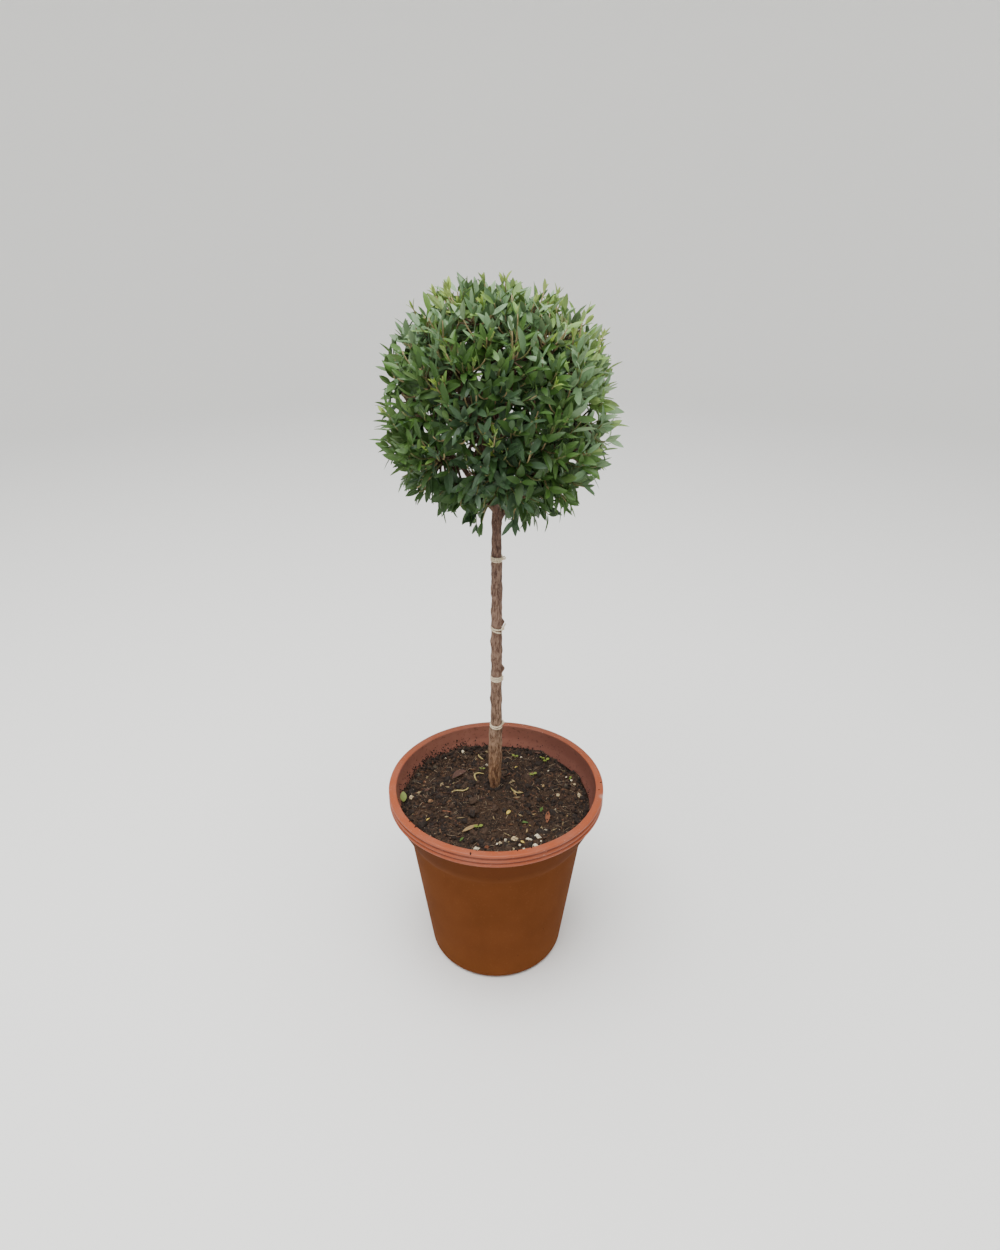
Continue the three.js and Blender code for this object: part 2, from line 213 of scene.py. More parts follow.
def makeStudio():
    flat, curve = studio["floorRadius"], studio["sweepRadius"]
    outline = [(flat * studio["innerShare"], 0), (flat, 0)]
    outline += arc(flat, curve, curve, -90, 0, studio["sweepSteps"])[1:]
    outline.append((flat + curve, studio["wallHeight"]))
    startPiece()
    bpy.ops.mesh.primitive_circle_add(vertices=studio["sides"], radius=outline[0][0], fill_type="NGON")
    floor = bpy.context.object
    floor.name = "studioFloor"
    for (radius, height), (nextRadius, nextHeight) in zip(outline, outline[1:]):
        selectEdges(floor, lambda a, b: all(
            abs(end.xy.length - radius) < 1e-3 and abs(end.z - height) < 1e-3 for end in (a, b)))
        bpy.ops.mesh.extrude_edges_move(TRANSFORM_OT_translate={"value": (0, 0, nextHeight - height)})
        ratio = nextRadius / radius
        bpy.ops.transform.resize(value=(ratio, ratio, 1), center_override=(0, 0, nextHeight))
    roundSmooth(floor, 60)
    paint, tree = newMaterial("mattePaintedFloor", roughness=0.9, ior=1.45)[:2]
    tree.nodes["Principled BSDF"].inputs["Base Color"].default_value = linearColour(studio["floorColour"])
    floor.data.materials.append(paint)

    world = bpy.data.worlds.new("softSky")
    bpy.context.scene.world = world
    world.use_nodes = True
    sky = world.node_tree.nodes["Background"]
    sky.inputs["Color"].default_value = linearColour(studio["skyColour"])
    sky.inputs["Strength"].default_value = studio["skyStrength"]

    bpy.ops.object.light_add(type="AREA", location=studio["lampPlace"])
    lamp = bpy.context.object
    lamp.name = "softOverheadLamp"
    lamp.data.shape = "DISK"
    lamp.data.size = studio["lampSize"]
    lamp.data.energy = studio["lampWatts"]
    lamp.rotation_euler = (Vector(studio["lampAim"]) - lamp.location).to_track_quat("-Z", "Y").to_euler()


makeCamera()
makeStudio()
print("camera and studio")


# A mesh of triangles, from one array of corners and one of faces.
def meshOf(name, corners, faces, kinds=None):
    mesh = bpy.data.meshes.new(name)
    corners = np.ascontiguousarray(corners, dtype=np.float32).reshape(-1, 3)
    faces = np.ascontiguousarray(faces, dtype=np.int32).reshape(-1, 3)
    mesh.vertices.add(len(corners))
    mesh.vertices.foreach_set("co", corners.ravel())
    mesh.loops.add(faces.size)
    mesh.loops.foreach_set("vertex_index", faces.ravel())
    mesh.polygons.add(len(faces))
    mesh.polygons.foreach_set("loop_start", np.arange(0, faces.size, 3, dtype=np.int32))
    if kinds is not None:
        mesh.polygons.foreach_set("material_index", np.ascontiguousarray(kinds, dtype=np.int32))
    mesh.update(calc_edges=True)
    piece = bpy.data.objects.new(name, mesh)
    bpy.context.collection.objects.link(piece)
    return piece


# Many copies of one small shape as one mesh: corners is copies x corners x 3, and faces are of one copy.
def joinedCopies(name, corners, faces, kinds=None):
    copies, each = corners.shape[:2]
    shifted = np.asarray(faces)[None] + (np.arange(copies) * each)[:, None, None]
    return meshOf(name, corners, shifted, None if kinds is None else np.tile(kinds, copies))


# Different shapes joined as one mesh, from a list of (corners, faces).
def joinedParts(name, parts):
    starts = np.cumsum([0] + [len(corners) for corners, _ in parts])
    return meshOf(name, np.concatenate([corners for corners, _ in parts]),
                  np.concatenate([np.asarray(faces) + start for (_, faces), start in zip(parts, starts)]))


def unit(vectors):
    return vectors / np.maximum(np.linalg.norm(vectors, axis=-1, keepdims=True), 1e-12)


def between(pair, share):
    return pair[0] + (pair[1] - pair[0]) * share


# Tubes along paths (tubes x steps x 3), each closed to a point at both ends.
def tubeCorners(paths, radii, sides):
    along = unit(np.gradient(paths, axis=1))
    least = np.abs(along.mean(axis=1)).argmin(axis=1)
    side = unit(np.cross(along, np.eye(3)[least][:, None]))
    back = np.cross(along, side)
    turns = np.arange(sides) * 2 * math.pi / sides
    ring = side[:, :, None] * np.cos(turns)[:, None] + back[:, :, None] * np.sin(turns)[:, None]
    rings = paths[:, :, None] + ring * radii[:, :, None, None]
    foot = paths[:, :1] - along[:, :1] * radii[:, :1, None] * 0.4
    tip = paths[:, -1:] + along[:, -1:] * radii[:, -1:, None] * 0.4
    return np.concatenate([rings.reshape(len(paths), -1, 3), foot, tip], axis=1)


def tubeFaces(steps, sides):
    faces = []
    foot, tip = steps * sides, steps * sides + 1
    for i in range(sides):
        j = (i + 1) % sides
        faces.append((foot, j, i))
        faces.append((tip, (steps - 1) * sides + i, (steps - 1) * sides + j))
        for step in range(steps - 1):
            a, b = step * sides + i, step * sides + j
            faces += [(a, b, a + sides), (b, b + sides, a + sides)]
    return faces


# A leaf's blade, live on the crown or dead on the compost: lance-shaped, and folded along its midrib.
blade = {
    "stations": (0.06, 0.18, 0.36, 0.56, 0.76, 0.91),
    "halfWidths": (0.13, 0.56, 0.94, 1.0, 0.76, 0.38),
    "thickness": 0.00035,
}


# Its foot, then left, right, top and bottom of the midrib at each station, then its tip.
def bladeRows():
    rows = [(0.0, 0.0, 0.0, 0.0)]
    for share, half in zip(blade["stations"], blade["halfWidths"]):
        rows += [(share, -half, half, 0.0), (share, half, half, 0.0)]
        rows += [(share, 0.0, 0.0, 0.5), (share, 0.0, 0.0, -0.5)]
    rows.append((1.0, 0.0, 0.0, 0.0))
    return np.array(rows)


def bladeFaces():
    count = len(blade["stations"])
    tip = 1 + 4 * count
    top, under = [], []
    for station in range(count - 1):
        left, right, crest, belly = [1 + 4 * station + k for k in range(4)]
        for a, b in ((crest, left), (right, crest)):
            top += [(a, b, b + 4), (a, b + 4, a + 4)]
        for a, b in ((left, belly), (belly, right)):
            under += [(a, b, b + 4), (a, b + 4, a + 4)]
    left, right, crest, belly = 1, 2, 3, 4
    top += [(0, left, crest), (0, crest, right)]
    under += [(0, belly, left), (0, right, belly)]
    left, right, crest, belly = [k + 4 * (count - 1) for k in (1, 2, 3, 4)]
    top += [(tip, crest, left), (tip, right, crest)]
    under += [(tip, left, belly), (tip, belly, right)]
    return np.array(top + under), np.array([0] * len(top) + [1] * len(under))


# Blades from rows of (foot, direction, across, face, length, width, fold, droop).
def bladeCorners(blades):
    rows = bladeRows()
    foot, direction, across, face = [np.array([each[k] for each in blades])[:, None] for k in range(4)]
    length, width, fold, droop = [np.array([each[k] for each in blades])[:, None, None] for k in range(4, 8)]
    share, sidewards, spread, thick = [rows[:, k][None, :, None] for k in range(4)]
    lift = spread * fold * width / 2 + thick * blade["thickness"] - droop * length * share ** 2
    return foot + direction * length * share + across * sidewards * width / 2 + face * lift


# The pot: a moulded wall that tapers down, a shoulder, a flare, and a ridged band round the rim.
pot = {
    "rimRadius": 0.140,
    "height": 0.262,
    "baseRadius": 0.0914,
    "baseRound": 0.009,
    "underShare": 0.5,
    "wall": 0.0025,
    "floorThickness": 0.003,
    "shoulder": (0.1145, 0.194),  # radius and height, then how it is rounded below, and how it steps out above
    "shoulderRound": (0.0004, 0.006),
    "shoulderStep": (0.0012, 0.003),
    "outerFlare": (0.1375, 0.88),  # radius at the top, and the power of its curve
    "innerFlare": (0.129, 1.25),
    "flareSteps": 10,
    "bandHeight": 0.018,
    "bandInset": 0.0019,
    "ridgeHeights": (0.0023, 0.0087),
    "ridgeRadius": 0.0019,
    "seam": 0.0002,
    "edgeGroove": ((0.0, 0.0050), (0.0003, 0.0042)),  # out from the band, and down from the top
    "edgeRound": 0.0021,
    "mouthRadius": 0.1300,
    "mouthRound": 0.0016,
    "sides": 144,
    "warp": 0.0005,
    "warpWaves": (14, 14, 6),
    "insideFrom": 0.1312,
    "rimFrom": 0.1368,
    "scuff": (0.1362, -0.0305, 0.2590),
}


# A flare's outline from the shoulder to the foot of the rim band.
def flareOutline(foot, top, power):
    lowest = pot["shoulder"][1] + pot["shoulderStep"][1]
    highest = pot["height"] - pot["bandHeight"]
    shares = [i / pot["flareSteps"] for i in range(pot["flareSteps"] + 1)]
    return [(foot + (top - foot) * t ** power, lowest + (highest - lowest) * t) for t in shares]


# The inner wall flares less than the outer one.
def innerFlare(gap):
    top, power = pot["innerFlare"]
    return flareOutline(pot["shoulder"][0] + pot["shoulderStep"][0] - pot["wall"] - gap, top - gap, power)


def innerWall(height):
    return float(np.interp(height, *np.array(innerFlare(0)).T[::-1]))


def potOutline():
    rim, top, wall, edge = pot["rimRadius"], pot["height"], pot["wall"], pot["edgeRound"]
    base, baseRound, floor = pot["baseRadius"], pot["baseRound"], pot["floorThickness"]
    (shoulder, shoulderHeight), (roundIn, roundDown) = pot["shoulder"], pot["shoulderRound"]
    band, ridge, seam, mouth = rim - pot["bandInset"], pot["ridgeRadius"], pot["seam"], pot["mouthRound"]
    ridges = []
    for height in pot["ridgeHeights"]:
        middle = top - pot["bandHeight"] + height
        bead = arc(rim - ridge, middle, ridge, -75, 75, 6)
        ridges += [(band, middle - ridge - seam), *bead, (band, middle + ridge + seam)]
    return [
        (base * pot["underShare"], 0),
        *arc(base - baseRound, baseRound, baseRound, -90, 0, 6),
        (shoulder - roundIn, shoulderHeight - roundDown),
        (shoulder, shoulderHeight),
        *flareOutline(shoulder + pot["shoulderStep"][0], *pot["outerFlare"]),
        *ridges,
        *[(band + out, top - down) for out, down in pot["edgeGroove"]],
        *arc(rim - edge, top - edge, edge, -50, 90, 7),
        *arc(pot["mouthRadius"] + mouth, top - mouth - seam, mouth, 90, 180, 5),
        *reversed(innerFlare(0)),
        (shoulder - wall, shoulderHeight),
        (base - wall, baseRound),
        (base - baseRound, floor),
        (base * pot["underShare"], floor),
    ]


def mouldedPlastic():  # terracotta-coloured polypropylene, matt and faintly clouded, a little darker in streaks
    material, tree, place = newMaterial("mouldedPolypropylene", roughness=0.72, ior=1.49, specular=0.02)
    # clouds of 55 mm, streaks 12 mm wide drawn out down the wall, and dust, drawn as coarse as it needs to show
    clouds = addNode(tree, "ShaderNodeTexNoise", {"Scale": 1 / 0.055, "Detail": 3.0}, {"Vector": place})
    body = addNode(tree, "ShaderNodeValToRGB", {}, {"Fac": clouds}, [(0.35, "#5d3419"), (0.68, "#63381c")])
    drawn = addNode(tree, "ShaderNodeMapping", {"Scale": (1, 1, 0.12)}, {"Vector": place})
    streaks = addNode(tree, "ShaderNodeTexNoise", {"Scale": 1 / 0.012, "Detail": 2.0}, {"Vector": drawn})
    dust = addNode(tree, "ShaderNodeTexNoise", {"Scale": 1 / 0.0022, "Detail": 2.0}, {"Vector": place})
    spots = addNode(tree, "ShaderNodeTexVoronoi", {"Scale": 1 / 0.035}, {"Vector": place})
    height = addNode(tree, "ShaderNodeSeparateXYZ", links={"Vector": place}, output="Z")
    colour = layColours(
        tree, body, ("#4c270f", streaks, 0.52, 0.75, 0.1), ("#8a5a3b", dust, 0.62, 0.8, 0.3),
        ("#33190d", spots, 0.036, 0.022, 0.8),  # a few dark spots, about 35 mm apart
        ("#7a4723", height, 0.06, 0.0, 0.4),  # paler with dried splashes low down
        ("#46210c", height, 0.197, 0.216, 0.5))  # and darker on the flare under the rim: painted shade
    return cover(material, colour, dust, 0.25, 0.0003)


def weatheredPlastic():  # the same plastic, faded round the rim, with a soft shine, and painted shade in its grooves, its recess and at its back
    material, tree, place = newMaterial("weatheredPolypropylene", roughness=0.42, ior=1.49, specular=0.25)
    height = addNode(tree, "ShaderNodeSeparateXYZ", links={"Vector": place}, output="Z")
    back = addNode(tree, "ShaderNodeSeparateXYZ", links={"Vector": place}, output="Y")
    levels = {"From Min": pot["height"] - pot["bandHeight"], "From Max": pot["height"]}
    upBand = addNode(tree, "ShaderNodeMapRange", levels, {"Value": height})
    # its colour up the band, darker in the grooves, in the recess below the top edge and under the lowest
    # ridge: painted shade
    paintedShadeByHeight = addNode(tree, "ShaderNodeValToRGB", {}, {"Fac": upBand}, [
        (0.0, "#6e351f"), (1.0, "#964a2c"), (0.10, "#8f472b"), (0.24, "#984d2f"), (0.29, "#66301d"),
        (0.36, "#66301d"), (0.44, "#8f472b"), (0.58, "#984d2f"), (0.63, "#6d3320"), (0.80, "#703722"),
        (0.88, "#9a4e30")])
    # clouds of 30 mm, and scuffed specks, drawn 1.6 mm coarse so that they show
    clouds = addNode(tree, "ShaderNodeTexNoise", {"Scale": 1 / 0.03, "Detail": 3.0}, {"Vector": place})
    specks = addNode(tree, "ShaderNodeTexNoise", {"Scale": 1 / 0.0016, "Detail": 2.0}, {"Vector": place})
    fromScuff = addNode(
        tree, "ShaderNodeVectorMath", {1: pot["scuff"]}, {0: place}, output="Value", operation="DISTANCE")
    colour = layColours(
        tree, paintedShadeByHeight, ("#925a47", clouds, 0.45, 0.75, 0.5),
        ("#6b3f30", back, 0.02, 0.135, 0.65),  # painted shade: darker at the back, where the crown's shadow falls
        ("#c9a58f", specks, 0.66, 0.78, 0.5),
        ("#b3a097", fromScuff, 0.0068, 0.0015, 0.7))  # one rubbed patch
    return cover(material, colour, specks, 0.3, 0.0003)


def dustyPlastic():  # the same plastic inside the mouth, matt with dried splashes of compost
    material, tree, place = newMaterial("dustyPolypropylene", roughness=0.62, ior=1.49, specular=0.2)
    # clouds of 30 mm, and splashes of 4 mm
    clouds = addNode(tree, "ShaderNodeTexNoise", {"Scale": 1 / 0.03, "Detail": 4.0}, {"Vector": place})
    wall = addNode(tree, "ShaderNodeValToRGB", {}, {"Fac": clouds}, [(0.3, "#845345"), (0.7, "#925f4f")])
    right = addNode(tree, "ShaderNodeSeparateXYZ", links={"Vector": place}, output="X")
    splashes = addNode(tree, "ShaderNodeTexNoise", {"Scale": 1 / 0.004, "Detail": 3.0}, {"Vector": place})
    colour = layColours(
        tree, wall, ("#6d4339", right, 0.0, 0.08, 0.8),  # painted shade: darker on the right, where the inner wall lies in shadow
        ("#4a3028", splashes, 0.58, 0.72, 0.6))
    return cover(material, colour, splashes, 0.3, 0.0004)


def makePot():
    piece = turnBody("potShell", potOutline(), pot["sides"])
    for vertex in piece.data.vertices:  # the mouth of a thin moulded pot isn't quite round
        share = max(0.0, vertex.co.z - pot["baseRound"]) / pot["height"]
        sway = noise.noise(vertex.co * Vector(pot["warpWaves"]))
        out = vertex.co.xy.normalized() * (sway - 0.4) * share * pot["warp"]
        vertex.co.x += out.x
        vertex.co.y += out.y
    piece.data.update()
    settle(piece, "pot_plastic", [mouldedPlastic(), weatheredPlastic(), dustyPlastic()], "pot")
    for face in piece.data.polygons:  # the rim band and its flat top, then the inner wall under the mouth
        inwards = face.normal.xy.dot(face.center.xy) < 0
        reach = face.center.xy.length
        if reach > pot["rimFrom"] or face.center.z > pot["height"] - 0.001:
            face.material_index = 1
        elif inwards and reach < pot["insideFrom"] and face.center.z > 0.02:
            face.material_index = 2
    roundSmooth(piece, 40)


makePot()
print("pot")

# The stem's line and thickness, as in the solids.
stem = {
    "line": [
        (-0.0022, 0.0140, 0.24435), (-0.0010, 0.0144, 0.300), (0.0003, 0.0140, 0.350), (0.0008, 0.0134, 0.440),
        (0.0014, 0.0138, 0.520), (0.0011, 0.0143, 0.590), (0.0016, 0.0140, 0.640), (0.0006, 0.0136, 0.700),
        (0.0014, 0.0140, 0.765),
    ],
    "radii": [
        (0.250, 0.0070), (0.266, 0.0079), (0.290, 0.0079), (0.313, 0.0083), (0.334, 0.0068), (0.412, 0.0065),
        (0.482, 0.0062), (0.573, 0.0059), (0.598, 0.0049), (0.615, 0.0056), (0.633, 0.0046), (0.700, 0.0037),
        (0.765, 0.0025),
    ],
    "sides": 64,
    "cuts": (8, 8, 7),
}


def stemCentre(height):
    x, y, z = np.array(stem["line"]).T
    place = [np.interp(height, z, x), np.interp(height, z, y), np.asarray(height, dtype=float)]
    return np.stack(place, axis=-1)


def stemRadius(height):
    return np.interp(height, *np.array(stem["radii"]).T)


# The compost: a low mound, rough with lumps, and less so close round the stem.
ground = {
    "wallGap": 0.00045,
    "atWall": 0.231,
    "atStem": 0.244,
    "flatUnderStem": 0.017,
    "moundReach": 0.095,
    "unevenness": 0.0016,
    "flareShare": 0.75,
    "rings": 80,
    "sides": 220,
    "waves": (110, 1.3, 130, -0.6, 47, -71),
    "lumps": (0.0040, 0.015),  # height and size
    "crumbs": (0.0021, 0.0035, 0.0016),  # height, and two sizes
    "sunk": 0.0006,
    "clearRound": 0.022,
    "bank": (0.0068, 0.007, 150, 40, 0.097, 0.1215),  # height, grain, middle and spread round, from and to
    "edgeFrom": 0.85,
}


def rampUp(value, start, end):
    return min(1.0, max(0.0, (value - start) / (end - start)))


# The ground's height at a place in the plan: the mound, its lumps and crumbs, and the bank at the wall.
def groundAt(x, y):
    place = Vector((x, y, 0))
    away = math.hypot(x - stem["line"][0][0], y - stem["line"][0][1])
    fall = rampUp(away, ground["flatUnderStem"], ground["moundReach"])
    fall = fall * fall * (3 - 2 * fall)
    a, b, c, d, e, f = ground["waves"]
    waves = math.sin(x * a + b) * math.cos(y * c + d) + math.sin(x * e + y * f)
    mound = between((ground["atStem"], ground["atWall"]), fall) - ground["unevenness"] * fall * (1 - waves)

    lumpHeight, lumpSize = ground["lumps"]
    crumbHeight, coarse, fine = ground["crumbs"]
    crumbs = abs(noise.noise(place / coarse)) + 0.5 * abs(noise.noise(place / fine))
    crumbs *= 1.0 + 0.4 * rampUp(y - x, 0, 0.1)  # rougher at the back left
    relief = lumpHeight * noise.fractal(place / lumpSize, 0.7, 2.2, 3) + crumbHeight * crumbs - ground["sunk"]

    height, grain, middle, spread, start, end = ground["bank"]
    turn = (math.degrees(math.atan2(y, x)) - middle + 180) % 360 - 180
    bank = height * math.exp(-(turn / spread) ** 2) * rampUp(math.hypot(x, y), start, end) ** 1.5
    bank *= 0.85 + 0.8 * noise.noise(place / grain)
    return min(mound, ground["atStem"]) + bank + min(1.0, away / ground["clearRound"]) * relief


def composted():  # moist peat-free compost: nearly black, browner where it has dried, matt, with pale flecks
    material, tree, place = newMaterial("moistCompost", roughness=0.92, ior=1.4, specular=0.25)
    # dry patches of 45 mm, crumbs of 1.6 mm, and flecks 4.5 mm apart
    dryness = addNode(tree, "ShaderNodeTexNoise", {"Scale": 1 / 0.045, "Detail": 3.0}, {"Vector": place})
    dried = addNode(tree, "ShaderNodeValToRGB", {}, {"Fac": dryness}, [(0.35, "#27201b"), (0.65, "#38291f")])
    crumbs = addNode(tree, "ShaderNodeTexNoise", {"Scale": 1 / 0.0016, "Detail": 4.0}, {"Vector": place})
    flecks = addNode(tree, "ShaderNodeTexVoronoi", {"Scale": 1 / 0.0045}, {"Vector": place})
    colour = layColours(
        tree, dried, ("#6a5340", crumbs, 0.5, 0.76, 0.8), ("#a89478", flecks, 0.1, 0.06, 0.5))
    return cover(material, colour, crumbs, 0.8, 0.0008)


def makeCompost():
    gap, baseRound, foot = ground["wallGap"], pot["baseRound"], pot["floorThickness"] + ground["wallGap"]
    inset = pot["wall"] + gap
    wallSide = innerFlare(gap)[:round(pot["flareSteps"] * ground["flareShare"])]
    edge = wallSide[-1][0]
    mark = pot["height"]  # rings of the open ground are laid at this height first
    outline = [
        (pot["baseRadius"] * pot["underShare"], foot),
        (pot["baseRadius"] - baseRound - gap, foot),
        (pot["baseRadius"] - inset, baseRound + gap),
        (pot["shoulder"][0] - inset, pot["shoulder"][1]),
        *wallSide,
        *[(edge * (1 - i / ground["rings"]), mark) for i in range(ground["rings"])],
    ]
    piece = turnBody("compostBed", outline, ground["sides"])
    for vertex in piece.data.vertices:
        if vertex.co.z > mark - 0.001:
            vertex.co.z = groundAt(vertex.co.x, vertex.co.y)
            share = max(0.0, vertex.co.xy.length / edge - ground["edgeFrom"]) / (1 - ground["edgeFrom"])
            wider = 1 + share * ((innerWall(vertex.co.z) - gap) / edge - 1)  # its edge keeps to the wall
            vertex.co.x *= wider
            vertex.co.y *= wider
    piece.data.update()
    settle(piece, "compost", [composted()], "compost")
    roundSmooth(piece, 60)


makeCompost()
print("compost")

# What lies on the compost. Sizes in metres; places, lengths and turns as read off the photo, in millimetres.
litter = {
    "seed": 5,
    "reach": 0.1212,
    "fineMiddle": (-0.012, -0.043, 0.033),  # a patch of finer, browner crumbs in front of the stem
    "crumbs": {
        "Black": (2300, (0.0008, 0.0029), "#2b2420"),
        "Brown": (1700, (0.0006, 0.0021), "#45352b"),
        "Rusty": (520, (0.0006, 0.0019), "#5b3f32"),
        "Tan": (330, (0.0004, 0.0010), "#94826a"),
    },
    "wallCrumbs": (700, 2.35, 0.5, 0.0032, 0.013, 0.0006),  # count, middle, spread, rise, highest, inset
    "ringCrumbs": [  # at the wall's foot and the stem's: how many, round what, how far out, and how high
        (420, (0, 0), 0.1212, -0.004, 1, 0.0018),
        (140, stem["line"][0][:2], stem["radii"][0][1] + 0.0012, 0.004, 2, 0.0012),
    ],
    "clods": {"Dark": (180, "#2e2723"), "Umber": (100, "#44352b")},
    "clodSize": (0.0022, 0.0058),
    "chips": {"Dark": (260, "#362822"), "Rusty": (130, "#59402f"), "Straw": (50, "#8c7a5a")},
    "chipSize": ((0.0024, 0.0062), (0.0010, 0.0021), 0.0005),
    "fibres": {"Dark": (330, "#403026"), "Pale": (240, "#8d7c66")},
    "fibreLength": (0.004, 0.013),
    "fibreRadius": (0.00012, 0.0004),
    "lumps": {  # white perlite, cream pebbles, and dull bits of bark and grit: x, y, length, width
        "perlite": ("#d8ccb0", [
            (51.5, -70.2, 8.2, 7.0), (49.0, -87.2, 9.0, 5.2), (63.2, -59.4, 5.4, 5.6),
            (40.5, -78.0, 7.0, 3.6), (12.1, -76.1, 3.4, 3.4), (-24.3, -87.1, 8.2, 5.6),
            (2.4, -83.5, 5.6, 4.6), (-48.2, 102.5, 3.6, 4.2), (-72.1, 88.7, 2.4, 2.4),
            (-13.3, 62.8, 4.6, 3.8), (-38.0, -3.3, 2.6, 2.2), (102.3, 41.2, 3.2, 3.0),
            (96.3, 49.1, 2.4, 3.0), (73.1, 66.9, 3.4, 2.6), (77.8, -17.0, 2.0, 2.0), (79.2, -59.2, 2.4, 2.2),
            (35.2, 93.6, 3.0, 3.0), (-8.1, 94.6, 1.8, 1.8), (59.9, 27.2, 1.8, 1.4), (29.5, -86.4, 3.0, 2.4),
            (34.4, -91.4, 3.2, 2.8), (56.2, -76.4, 2.6, 2.0), (-61.4, 27.2, 1.6, 1.6),
            (13.6, -88.4, 2.6, 2.2),
        ]),
        "pebble": ("#b8a581", [
            (22.7, -76.0, 7.6, 5.8), (18.9, -92.9, 6.6, 4.4), (5.1, -83.8, 4.2, 3.8),
            (-112.3, 2.1, 5.6, 5.2), (82.3, 10.2, 5.2, 4.4), (110.3, 10.1, 4.6, 7.8),
            (106.3, 33.2, 4.2, 3.2), (-96.9, 41.2, 2.2, 2.0),
        ]),
        "stoneGrit": ("#4d4438", [
            (-111.7, 39.2, 6.2, 5.2), (-106.7, 49.1, 5.4, 4.6), (-84.9, 70.9, 8.0, 5.0),
            (94.0, 28.4, 4.4, 6.4),
        ]),
        "stoneUmber": ("#3f2e24", [
            (90.0, 44.6, 6.6, 6.4), (96.0, -14.6, 8.4, 6.6), (-77.3, -7.6, 6.0, 4.2),
            (-55.6, -13.6, 8.0, 4.0),
        ]),
        "stoneOchre": ("#8a674a", [
            (-86.9, -0.5, 7.0, 4.6), (104.2, -4.1, 3.0, 2.6),
        ]),
        "stoneRust": ("#74462f", [
            (-10.6, -89.0, 7.2, 4.4), (-98.2, 40.7, 3.6, 6.4),
        ]),
    },
    "deadLeaves": {  # x, y, length, width, and turn from the viewer's right
        "Mauve": ("#50382f", [
            (-50.4, 39.4, 27.0, 11.0, 44), (-92.0, 21.3, 12.0, 5.0, 40), (-18.0, -10.7, 8.0, 2.2, 12),
            (58.8, 100.5, 11.0, 4.0, -20),
        ]),
        "Sienna": ("#7c4c34", [
            (66.4, -35.4, 24.0, 6.0, 83), (-64.5, -26.4, 14.0, 2.2, -8), (15.2, 34.7, 9.0, 2.2, 22),
        ]),
        "Lemon": ("#bfa654", [
            (16.1, -34.1, 10.0, 4.6, 58), (27.6, 63.3, 5.4, 3.4, 30), (43.6, -50.0, 5.4, 2.2, -50),
            (33.0, -82.0, 7.0, 3.4, -52), (-87.3, -36.4, 8.0, 2.0, 52),
        ]),
        "Sand": ("#8d7550", [
            (-32.9, -58.5, 26.0, 6.0, 39), (63.2, 22.5, 8.6, 3.0, 84), (24.8, -1.8, 9.0, 3.4, 118),
            (30.4, 3.2, 12.0, 2.0, -28), (47.8, -32.0, 9.0, 1.8, 24), (38.9, -61.7, 8.0, 2.0, 82),
            (93.7, -30.5, 8.0, 1.8, 12),
        ]),
        "Olive": ("#48602b", [
            (35.4, -44.0, 12.4, 3.8, -6), (59.0, -20.6, 10.0, 4.0, 76), (-42.7, -75.5, 9.0, 3.0, 58),
        ]),
        "Umber": ("#3e2d23", [
            (-81.4, -46.4, 15.0, 6.0, 4), (3.7, 88.6, 12.0, 5.0, 150), (-19.9, 108.4, 9.0, 3.4, 30),
            (-99.1, -22.5, 10.0, 4.4, 70), (86.4, 70.9, 9.0, 3.8, 110),
        ]),
    },
    "curls": [  # dry curled leaves, as lines
        [(-58.9, 3.3), (-53.6, 6.8), (-47.6, 5.4), (-42.7, 4.8), (-38.3, 8.2), (-35.3, 14.6)],
        [(-16.7, 37.9), (-21.9, 39.0), (-27.4, 38.5), (-29.5, 35.0), (-28.5, 28.0), (-25.4, 20.2)],
        [(-25.8, 98.6), (-24.8, 92.6), (-20.9, 87.7), (-18.4, 84.7)],
        [(19.5, 9.1), (23.4, 2.2), (28.4, -1.8), (35.3, -0.3)],
    ],
    "seedlings": [  # x, y, size and turn of their first two leaves
        (-22.2, -56.3, 6.2, 10), (-19.3, 48.2, 4.4, 0), (50.4, 43.8, 5.6, 20), (70.7, 88.8, 5.6, 40),
        (26.3, 86.3, 5.2, -20), (101.3, 44.1, 3.6, 70), (64.7, 93.6, 4.2, -30), (-55.5, 37.1, 2.2, 30),
    ],
    # one broad leaf stands at the wall; its values are those of laidBlade
    "broadLeaf": (-0.1212, -0.0090, 0.0145, 0.0088, 98, 1.1, 0.1, 0.06, 0.001),
    "rimMarks": [  # degrees round, how far out, size
        (-143.7, 130.9, 1.2), (-138.0, 131.2, 1.6), (-102.3, 137.4, 1.6), (-78.8, 131.6, 1.1),
        (-71.3, 131.2, 1.2), (-0.9, 137.0, 1.2), (-7.3, 134.0, 0.9), (-99.9, 131.0, 0.7),
    ],
}


# A lump, modelled once: a ball with its corners pushed about.
def lumpShape(cuts, unevenness):
    startPiece()
    bpy.ops.mesh.primitive_ico_sphere_add(subdivisions=cuts, radius=1)
    lump = bpy.context.object
    bpy.ops.object.mode_set(mode="EDIT")
    bpy.ops.mesh.select_all(action="SELECT")
    bpy.ops.transform.vertex_random(offset=unevenness, uniform=0.3, seed=litter["seed"])
    bpy.ops.object.mode_set(mode="OBJECT")
    corners = np.array([vertex.co[:] for vertex in lump.data.vertices])
    faces = np.array([face.vertices[:] for face in lump.data.polygons])
    bpy.data.objects.remove(lump)
    return corners, faces


# Everything on the compost is plainly coloured: look is all that faintlyUneven asks for.
def onCompost(piece, look):
    return settle(piece, "compost", [faintlyUneven(*look)], "compost")


